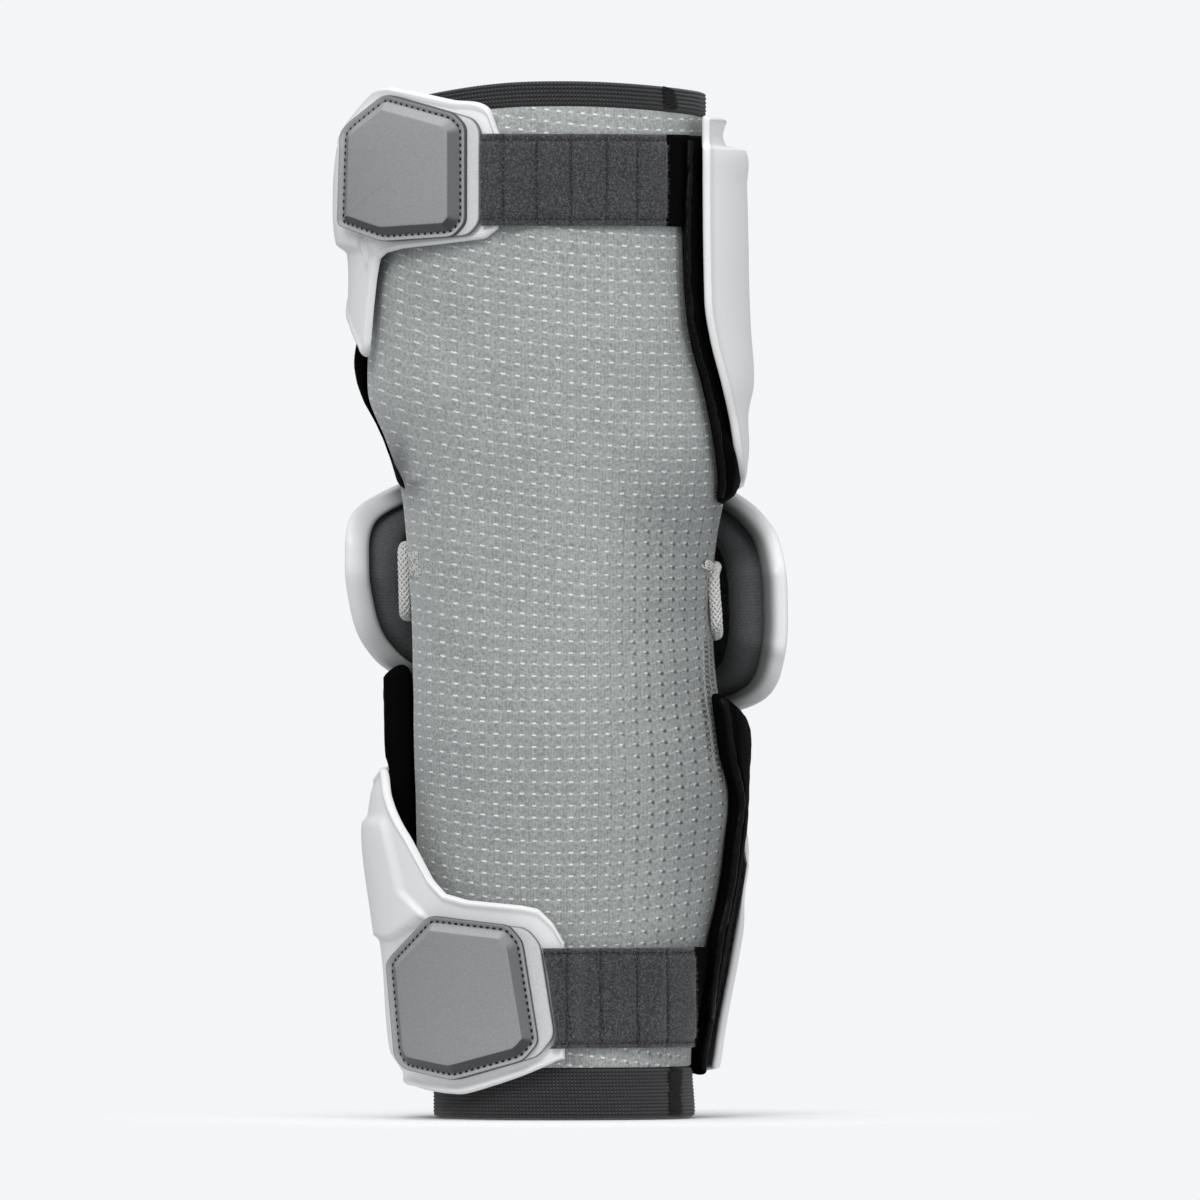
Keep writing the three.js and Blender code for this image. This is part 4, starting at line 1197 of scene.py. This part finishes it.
def rim_shade(across, inset_by):
    """Painted shade on the rim: at its ends beside the pads and on its inner side at the right."""
    left = mix(1, 0.1, ease(-66, -54, across) * ease(0.5, 2.5, inset_by))
    right = mix(1, 0.45, ease(67, 54, across) * ease(0.5, 3, inset_by))
    right = mix(1, 0.2, ease(2.5, 6.5, inset_by)) * right
    return np.where(across < 0, left, right)


def make_cap():
    rows = dome(0, CAP_APEX, 44, 0.985)
    # the last value of each row is painted shade: the lip darkens as it turns in, and the inside is darker
    # still
    for t in np.linspace(0, math.pi, 22):
        inset_by = LIP_WIDTH * (1 - math.cos(t)) / 2
        ahead = 2.6 * math.sin(t) - 1.0 * (1 - math.cos(t))
        rows.append((1.0, inset_by, 0.0, CAP_APEX, ahead, mix(1.0, 0.75, ease(2.2, 3.14, t))))
    for inset_by, back in ((8.2, 0.03), (8.0, 0.05), (7.2, 0.07), (5.6, 0.08), (4.2, 0.085)):
        rows.append((1.0, inset_by, back, CAP_APEX, 0.0, 0.3))
    rows += dome(CAP_WALL, CAP_INSIDE, 34, 0.9, 0.1)[::-1]
    belongs(bowl("elbow_cap_skin", rows, shell_white, 190, rim_shade), "elbow_cap")


def make_liner():
    reach = CAP_APEX - MOUTH_AT_SIDES
    # inset, depth and tone of the rolled edge; the tones are painted shade, darkest next to the cap's rim
    # and lower where the edge turns back in
    rolled_edge = [
        (4.4, 10.0, 0.1), (5.2, 8.4, 0.12), (6.8, 7.2, 0.25), (9.0, 6.8, 0.75), (12.0, 7.4, 1.0),
        (15.0, 8.8, 1.0), (17.6, 11.2, 1.0), (19.2, 14.4, 0.9), (19.8, 18.0, 0.7),
    ]
    rows = dome(CAP_WALL + SEAT, LINER_BACK, 24, 0.86)
    rows += [(1.0, inset_by, depth / reach, CAP_APEX, 0.0, tone) for inset_by, depth, tone in rolled_edge]
    rows += dome(CAP_WALL + SEAT + LINER_THICKNESS, LINER_FACE, 30, 0.8)[::-1]
    piece = bowl("elbow_liner_pad", rows, liner_cloth, 170)
    belongs(piece, "elbow_liner")


# Straps


def flat_lift(round_, height):
    """Height of a strap over the sleeve, where it lies on the sleeve alone."""
    return np.full(np.broadcast(round_, height).shape, SEAT)


def over_upper_wing(round_, height):
    """Height of the upper strap over the sleeve, and over the wing that it passes."""
    on_wing = shell_lift(UPPER, np.maximum(round_, 20), height) + SEAT
    return mix(SEAT, on_wing, ease(12, 24, round_))


def over_lower_wing(round_, height):
    """Height of the lower strap over the sleeve, the wing and its own black end."""
    on_wing = shell_lift(FOREARM, np.maximum(round_, 2), height) + SEAT
    return mix(SEAT, on_wing, ease(-11, 0, round_)) + 2.4 * ease(-37, -41, round_)


def quilting(across, t, width, first, last, channels):
    """How far a strap swells between its channels, and is drawn in along them and along its edges."""
    seams = np.array([first - 6] + channels + [last + 4])
    k = np.clip(np.searchsorted(seams, across) - 1, 0, len(seams) - 2)
    place = (across - seams[k]) / (seams[k + 1] - seams[k])
    edge = np.abs(t - 0.5) * width
    rows = ease(width / 2 - SEAM_INSET, width / 2 - 4.6, edge)
    puff = (np.sin(math.pi * np.clip(place, 0, 1)) ** 0.6) * rows * 0.75
    seam = np.abs(across[..., None] - np.array(channels)).min(-1)
    pulled = hump(seam, 0.5) * 0.5 + hump(edge - (width / 2 - SEAM_INSET), 0.45) * 0.4
    return puff, pulled


def front_band(name, node, material, ends, middle, width, lift, thickness, channels, columns=120):
    """A strap across the front between two ends, quilted between its channels if it has any."""
    s, t = np.meshgrid(steps(columns, 0.012, 4), steps(44, 0.05, 5), indexing="ij")
    height = middle + width * (t - 0.5)
    start, end = ends[0](height), ends[1](height)
    across = mix(start, end, s)
    round_ = round_at(across, height, lift, *FRONT_HALF)
    under = lift(round_, height)
    puff = pulled = np.zeros_like(s)
    if channels:
        puff, pulled = quilting(across, t, width, start.min(), end.max(), channels)
    outer = wrapped(round_, height, under + thickness + puff - pulled - 0.5)
    inner = wrapped(round_, height, under)
    # painted shade along the channels and the stitched edges, where the strap is drawn in
    depth = 1 - 0.55 * np.clip(pulled * 2, 0, 1)
    piece = slab(name, outer, inner, material, edge=1.2, marks={"depth": depth})
    belongs(piece, node)
    return piece, outer, across, height


def make_pile(name, node, outer, count, seed):
    """Short fibres standing on a strap, as one mesh."""
    dice = np.random.default_rng(seed)
    normal = towards_front(outer)
    columns, rows = outer.shape[:2]
    wide = lengths(outer, 0)[:, rows // 2]
    tall = lengths(outer, 1)[columns // 2]
    i = np.interp(dice.uniform(0.2, wide[-1] - 0.2, count), wide, np.arange(columns))
    j = np.interp(dice.uniform(0.1, tall[-1] - 0.1, count), tall, np.arange(rows))
    a, b = i.astype(int).clip(0, columns - 2), j.astype(int).clip(0, rows - 2)
    fa, fb = (i - a)[:, None], (j - b)[:, None]
    root = outer[a, b] * (1 - fa) * (1 - fb) + outer[a + 1, b] * fa * (1 - fb)
    root = root + outer[a, b + 1] * (1 - fa) * fb + outer[a + 1, b + 1] * fa * fb
    up = normal[a, b]
    loose = dice.normal(size=(count, 3))
    loose = unit(loose - up * (loose * up).sum(1, keepdims=True))
    tall_by = dice.uniform(0.25, 0.75, (count, 1))
    side = np.cross(up, loose) * FIBRE_HALF_WIDTH
    bend = root + up * tall_by * 0.7 + loose * dice.uniform(0.1, 0.5, (count, 1))
    tip = bend + loose * dice.uniform(0.2, 0.8, (count, 1)) + up * dice.uniform(-0.25, 0.2, (count, 1))
    root = root - up * 0.15
    points = np.stack([root - side, root + side, bend + side, bend - side, tip, tip], axis=1)
    quads = np.array([(0, 1, 2, 3), (3, 2, 5, 4)])
    faces = quads[None] + np.arange(count)[:, None, None] * 6
    light = np.repeat(dice.random(count), 6)
    piece = add_mesh(name, points.reshape(-1, 3), faces.reshape(-1, 4), strap_pile, marks={"light": light})
    belongs(piece, node)


def make_strap_stitches(node, outer, across, height, middle, width, channels):
    """Stitches along both edges of a strap and along its channels."""
    normal = towards_front(outer)
    lines = []
    for value in (middle - width / 2 + SEAM_INSET, middle + width / 2 - SEAM_INSET):
        j = np.abs(height[0] - value).argmin()
        lines.append((outer[:, j], normal[:, j]))
    for value in channels:
        i = np.abs(across[:, across.shape[1] // 2] - value).argmin()
        lines.append((outer[i, 5:-5], normal[i, 5:-5]))
    points, faces = joined([threads_along(line, up, 2.1, 1.35, 0.34, 0.06) for line, up in lines])
    belongs(add_mesh(f"{node}_stitches", points, faces, black_thread), node)


def straight(place):
    """An end of a strap at one place across for all heights."""
    return lambda height: np.full_like(height, place)


def make_strap(kind, ends, middle, width, lift, channels, fibres, seed):
    """A padded strap with its pile and stitches, and its black sewn end at the right."""
    node = f"{kind}_strap"
    piece, outer, across, height = front_band(
        f"{node}_cloth", node, strap_cloth, ends, middle, width, lift, 2.4, channels)
    make_pile(f"{node}_pile", node, outer, fibres, seed)
    make_strap_stitches(node, outer, across, height, middle, width, channels)
    ends = straight(STRAP_END), lambda h: pad_edge_across(h) - 0.5
    piece = front_band(
        f"{kind}_anchor_cloth", f"{node}_anchor", webbing, ends, middle, width, flat_lift,
        2.2, [], 30)[0]


def make_straps():
    ends = straight(-27.2), straight(STRAP_END - 0.2)
    channels = [-19.7, -9.0, 1.9, 13.3, 23.0]
    make_strap("upper", ends, UPPER_STRAP_MIDDLE, UPPER_STRAP_WIDTH, over_upper_wing, channels, 14000, 11)

    def lower_start(h):
        return np.interp(h, [-150, -147, -144, -125, -114], [-6.0, -3.6, -2.9, -5.4, -7.6])

    ends = lower_start, straight(LOWER_STRAP_END)
    channels = [0.6, 11.3, 23.0, 32.7]
    make_strap("lower", ends, LOWER_STRAP_MIDDLE, LOWER_STRAP_WIDTH, over_lower_wing, channels, 11000, 12)


# Tabs


def rounded_outline(corners, radius):
    """A closed outline with rounded corners, evenly spaced."""
    corners = np.asarray(corners, float)
    line = []
    for before, here, after in zip(np.roll(corners, 1, axis=0), corners, np.roll(corners, -1, axis=0)):
        one, two = before - here, after - here
        long_one, long_two = np.linalg.norm(one), np.linalg.norm(two)
        cut = min(radius, long_one * 0.45, long_two * 0.45)
        start, end = here + one / long_one * cut, here + two / long_two * cut
        for t in np.linspace(0, 1, 7):
            line.append((1 - t) ** 2 * start + 2 * t * (1 - t) * here + t**2 * end)
    return resampled(np.array(line), 0.7, closed=True)


def inwards(outline):
    """Unit vectors from an outline towards its inside."""
    tangent = unit(np.roll(outline, -1, axis=0) - np.roll(outline, 1, axis=0))
    normal = np.stack([-tangent[:, 1], tangent[:, 0]], axis=1)
    area = (outline[:, 0] * np.roll(outline[:, 1], -1) - np.roll(outline[:, 0], -1) * outline[:, 1]).sum()
    return normal if area > 0 else -normal


def inset(outline, by):
    """An outline moved inwards, relaxed a little so that its corners stay clean."""
    out = outline + inwards(outline) * by
    for _ in range(int(3 + by * 3)):
        out = mix(out, (np.roll(out, 1, axis=0) + np.roll(out, -1, axis=0)) / 2, 0.35)
    return out


def on_form(form, flat, lift):
    """Points on a shell for places seen from the front, lifted off it."""
    def over(r, h):
        return shell_lift(form, r, h) + TAB_RAISE

    round_ = round_at(flat[..., 0], flat[..., 1], over, *LEFT_HALF)
    return wrapped(round_, flat[..., 1], over(round_, flat[..., 1]) - TAB_RAISE + lift)


def plaque(name, node, form, outline, profile, material):
    """A plate over a shell. Profile rows hold an inset, a lift, a tone of painted shade and how much
    painted light and shade follow the side that the row faces, from the plate's underside to its middle."""
    away = -inwards(outline)
    # painted light where the outline faces up, painted shade where it faces down or right
    faced = 0.8 * away[:, 1] - 0.62 * np.maximum(away[:, 0], 0) - 0.2 * np.maximum(-away[:, 0], 0)
    rings, heights, tones = [], [], []
    for by, up, tone, turned in profile:
        rings.append(inset(outline, by) if by > 0 else outline)
        heights.append(up)
        tones.append(tone * (1 + turned * faced))
    foot, centre = rings[0].mean(axis=0), rings[-1].mean(axis=0)
    under = [mix(rings[0], foot, t) for t in (0.97, 0.6, 0.3)]
    fill = [mix(rings[-1], centre, t) for t in np.linspace(0, 1, 10)[1:-1]]
    flat = np.stack(under + rings + fill, axis=1)
    lift = np.array(heights[:1] * len(under) + heights + heights[-1:] * len(fill))
    tone = np.stack(tones[:1] * len(under) + tones + tones[-1:] * len(fill), axis=1)
    grid = on_form(form, flat, np.broadcast_to(lift, flat.shape[:2]))
    poles = on_form(form, np.stack([centre, foot]), lift[[-1, 0]])
    index = np.arange(tone.size).reshape(tone.shape)
    after = np.roll(index, -1, axis=0)
    faces, corners = grid_faces(index, True)
    top = fan(index.size, index[:, -1], after[:, -1])
    bottom = fan(index.size + 1, after[:, 0], index[:, 0])
    spots = np.stack([flat[a % len(flat), b] for a, b in corners], axis=1)
    uvs = np.concatenate([spots, np.zeros((2 * len(flat), 4, 2))])
    shade = np.concatenate([tone.ravel(), tone[0, [-1, 0]]])
    points = np.concatenate([grid.reshape(-1, 3), poles])
    faces = np.concatenate([faces, top, bottom])
    belongs(add_mesh(name, points, faces, material, uvs, {"depth": shade}), node)


def make_tab(kind, form):
    """A tab: its strip, the body over it, the grey panel on that and stitches round the panel."""
    corners = TABS[kind]
    node = f"{kind}_tab"
    whole = rounded_outline([corners["top"], *corners["strip"], *corners["left"]], 2.4)
    main = rounded_outline([corners["top"], *corners["body"], *corners["left"]], 1.9)
    plaque(f"{node}_strip", node, form, whole, STRIP_PROFILE, tab_strip_light)
    plaque(f"{node}_body", node, form, main, BODY_PROFILE, tab_edge_grey)
    plaque(f"{node}_panel_skin", f"{node}_panel", form, main, PANEL_PROFILE, tab_panel_grey)
    ring = inset(main, 1.75)
    ring = resampled(np.concatenate([ring, ring[:1]]), 0.4)
    line, above = (on_form(form, ring, np.full(len(ring), up)) for up in (3.85, 4.85))
    points, faces = threads_along(line, above - line, 2.3, 1.35, 0.72, 0.1)
    belongs(add_mesh(f"{node}_stitches", points, faces, black_thread), node)


# Laces


def make_lace(side, route):
    """A braided cord: strands that turn both ways round a core, over and under each other."""
    each_way = 6
    full_turn = 11.5
    centre = smoothed(route, 0.32)
    tangent = unit(np.gradient(centre, axis=0))
    out = centre * np.array([1, 1, 0])
    out = unit(out - tangent * (out * tangent).sum(1, keepdims=True))
    side_way = np.cross(tangent, out)
    angle = lengths(centre, 0) * 2 * math.pi / full_turn
    parts = [tube(centre, 1.3, 8)]
    for way in (1, -1):
        off = 1.55 + way * 0.2 * np.cos(each_way * angle)
        for k in range(each_way):
            turn = way * angle + k * 2 * math.pi / each_way
            line = centre + out * (off * np.cos(turn))[:, None] + side_way * (off * np.sin(turn))[:, None]
            parts.append(tube(line, 0.38, 6))
    points, faces = joined(parts)
    belongs(add_mesh(f"{side}_lace_braid", points, faces, cord_white), f"{side}_lace")


def short_thread(across, height, lift, radius, limits):
    """A bent thread on the sleeve through places seen from the front."""
    round_ = round_at(across, height, no_lift, *limits)
    return tube(smoothed(wrapped(round_, height, lift), 0.3), radius, 6)


def make_lace_ends():
    """Loose threads beside the left lace and a small knot beside the right one."""
    dice = np.random.default_rng(21)
    threads = []
    for _ in range(60):
        x = dice.uniform(-50.9, -48.2)
        z = dice.uniform(8.2, 15.8)
        t = np.linspace(-1, 1, 5)
        x = x + dice.uniform(-0.6, 0.6) * t + dice.normal(0, 0.12, 5)
        threads.append(short_thread(x, z + 0.7 * t, 0.35 + 0.35 * (1 - t * t), 0.2, LACE_SIDES["left"]))
    knot = []
    for k in range(9):
        x, z = np.array([47.2, 11.4]) + dice.normal(0, 0.6, 2)
        turn = 2.2 * k + 4 * np.linspace(0, 1, 5)
        x, z = x + 0.9 * np.cos(turn), z + 0.9 * np.sin(turn)
        knot.append(short_thread(x, z, 0.6, 0.3, LACE_SIDES["right"]))
    for side, parts in (("left", threads), ("right", knot)):
        points, faces = joined(parts)
        belongs(add_mesh(f"{side}_lace_threads", points, faces, cord_white), f"{side}_lace")


make_sleeve()
make_cuff("top_cuff_band", "top_cuff", UPPER_LENGTH - TOP_CUFF, UPPER_LENGTH, cuff_drop, 1.35, 0.35)
make_cuff(
    "bottom_cuff_band", "bottom_cuff", -LOWER_LENGTH, BOTTOM_CUFF - LOWER_LENGTH, np.zeros_like, 1.2, 0.3)
make_bartack("top_cuff", 34.8, 162.9, 170.0, 4.2, -0.1)
make_bartack("bottom_cuff", 36.4, -171.2, -155.6, 4.4, 0.0)
make_upper_shell()
make_forearm_shell()
make_pad("upper_pad_cloth", "upper_arm_pad", UPPER, UPPER_PAD_EDGES, 0.897, 31, UPPER_PAD_GAPS)
make_pad("forearm_pad_cloth", "forearm_pad", FOREARM, FOREARM_PAD_EDGES, -0.92, 41, FOREARM_PAD_GAPS)
make_cap()
make_liner()
make_straps()
make_tab("upper", UPPER)
make_tab("lower", FOREARM)
make_lace("left", LEFT_LACE)
make_lace("right", RIGHT_LACE)
make_lace_ends()


# Stage, light and camera


def make_floor():
    radius, sides = 200.0, 96
    turn = np.linspace(0, 2 * math.pi, sides, endpoint=False)
    rings = np.linspace(0.02, 1, 12) * radius
    level = np.full((sides, len(rings)), FLOOR_HEIGHT)
    grid = np.stack([np.outer(np.cos(turn), rings), np.outer(np.sin(turn), rings), level], axis=-1)
    faces = grid_faces(np.arange(level.size).reshape(level.shape), True)[0]
    s = Shader("floor", (0.93, 0.935, 0.94), 1.0, Specular_IOR_Level=0.0)
    flat = s.node("ShaderNodeVectorMath", operation="MULTIPLY")
    s.put(flat.inputs[0], s.place())
    flat.inputs[1].default_value = (1, 1, 0)
    length = s.node("ShaderNodeVectorMath", operation="LENGTH")
    s.put(length.inputs[0], flat.outputs[0])
    clear = s.ramp(length.outputs["Value"], 0.055, 0.17, 1, 0)
    s.put(s.surface.inputs["Alpha"], clear)
    floor = add_mesh("floor", grid.reshape(-1, 3), faces, s.material)


def add_light(name, place, size, power):
    """A lamp that shines at the middle of the pad."""
    light = bpy.data.lights.new(name, "AREA")
    light.shape = "RECTANGLE"
    light.size, light.size_y = size
    light.energy = power
    lamp = bpy.data.objects.new(name, light)
    bpy.context.scene.collection.objects.link(lamp)
    lamp.location = place
    way = -np.array(place, float)
    way /= np.linalg.norm(way)
    lamp.rotation_mode = "QUATERNION"
    lamp.rotation_quaternion = Vector(way).to_track_quat("-Z", "Y")


def make_world():
    world = bpy.data.worlds.new("pale")
    bpy.context.scene.world = world
    world.use_nodes = True
    nodes, links = world.node_tree.nodes, world.node_tree.links
    nodes.clear()
    out = nodes.new("ShaderNodeOutputWorld")
    seen = nodes.new("ShaderNodeBackground")
    seen.inputs["Color"].default_value = (0.905, 0.915, 0.93, 1)
    ambient = nodes.new("ShaderNodeBackground")
    ambient.inputs["Color"].default_value = (0.97, 0.985, 1.0, 1)
    ambient.inputs["Strength"].default_value = 0.52
    choice = nodes.new("ShaderNodeMixShader")
    path = nodes.new("ShaderNodeLightPath")
    links.new(path.outputs["Is Camera Ray"], choice.inputs[0])
    links.new(ambient.outputs[0], choice.inputs[1])
    links.new(seen.outputs[0], choice.inputs[2])
    links.new(choice.outputs[0], out.inputs[0])


make_floor()
make_world()
add_light("key", (-0.7, -2.0, 1.5), (1.0, 1.0), 30)
add_light("fill", (1.7, -1.6, 0.3), (1.0, 1.6), 10)
add_light("top", (0.0, -0.2, 1.9), (1.2, 0.9), 14)

camera_data = bpy.data.cameras.new("camera")
camera_data.sensor_width = 36
camera_data.lens = 675
camera_data.clip_end = 20
camera = bpy.data.objects.new("camera", camera_data)
bpy.context.scene.collection.objects.link(camera)
camera.location = (0.01167, -7.5, 0.0)
camera.rotation_euler = (math.pi / 2, 0, 0)
bpy.context.scene.camera = camera
bpy.context.scene.view_settings.view_transform = "Standard"
bpy.context.scene.view_settings.look = "None"
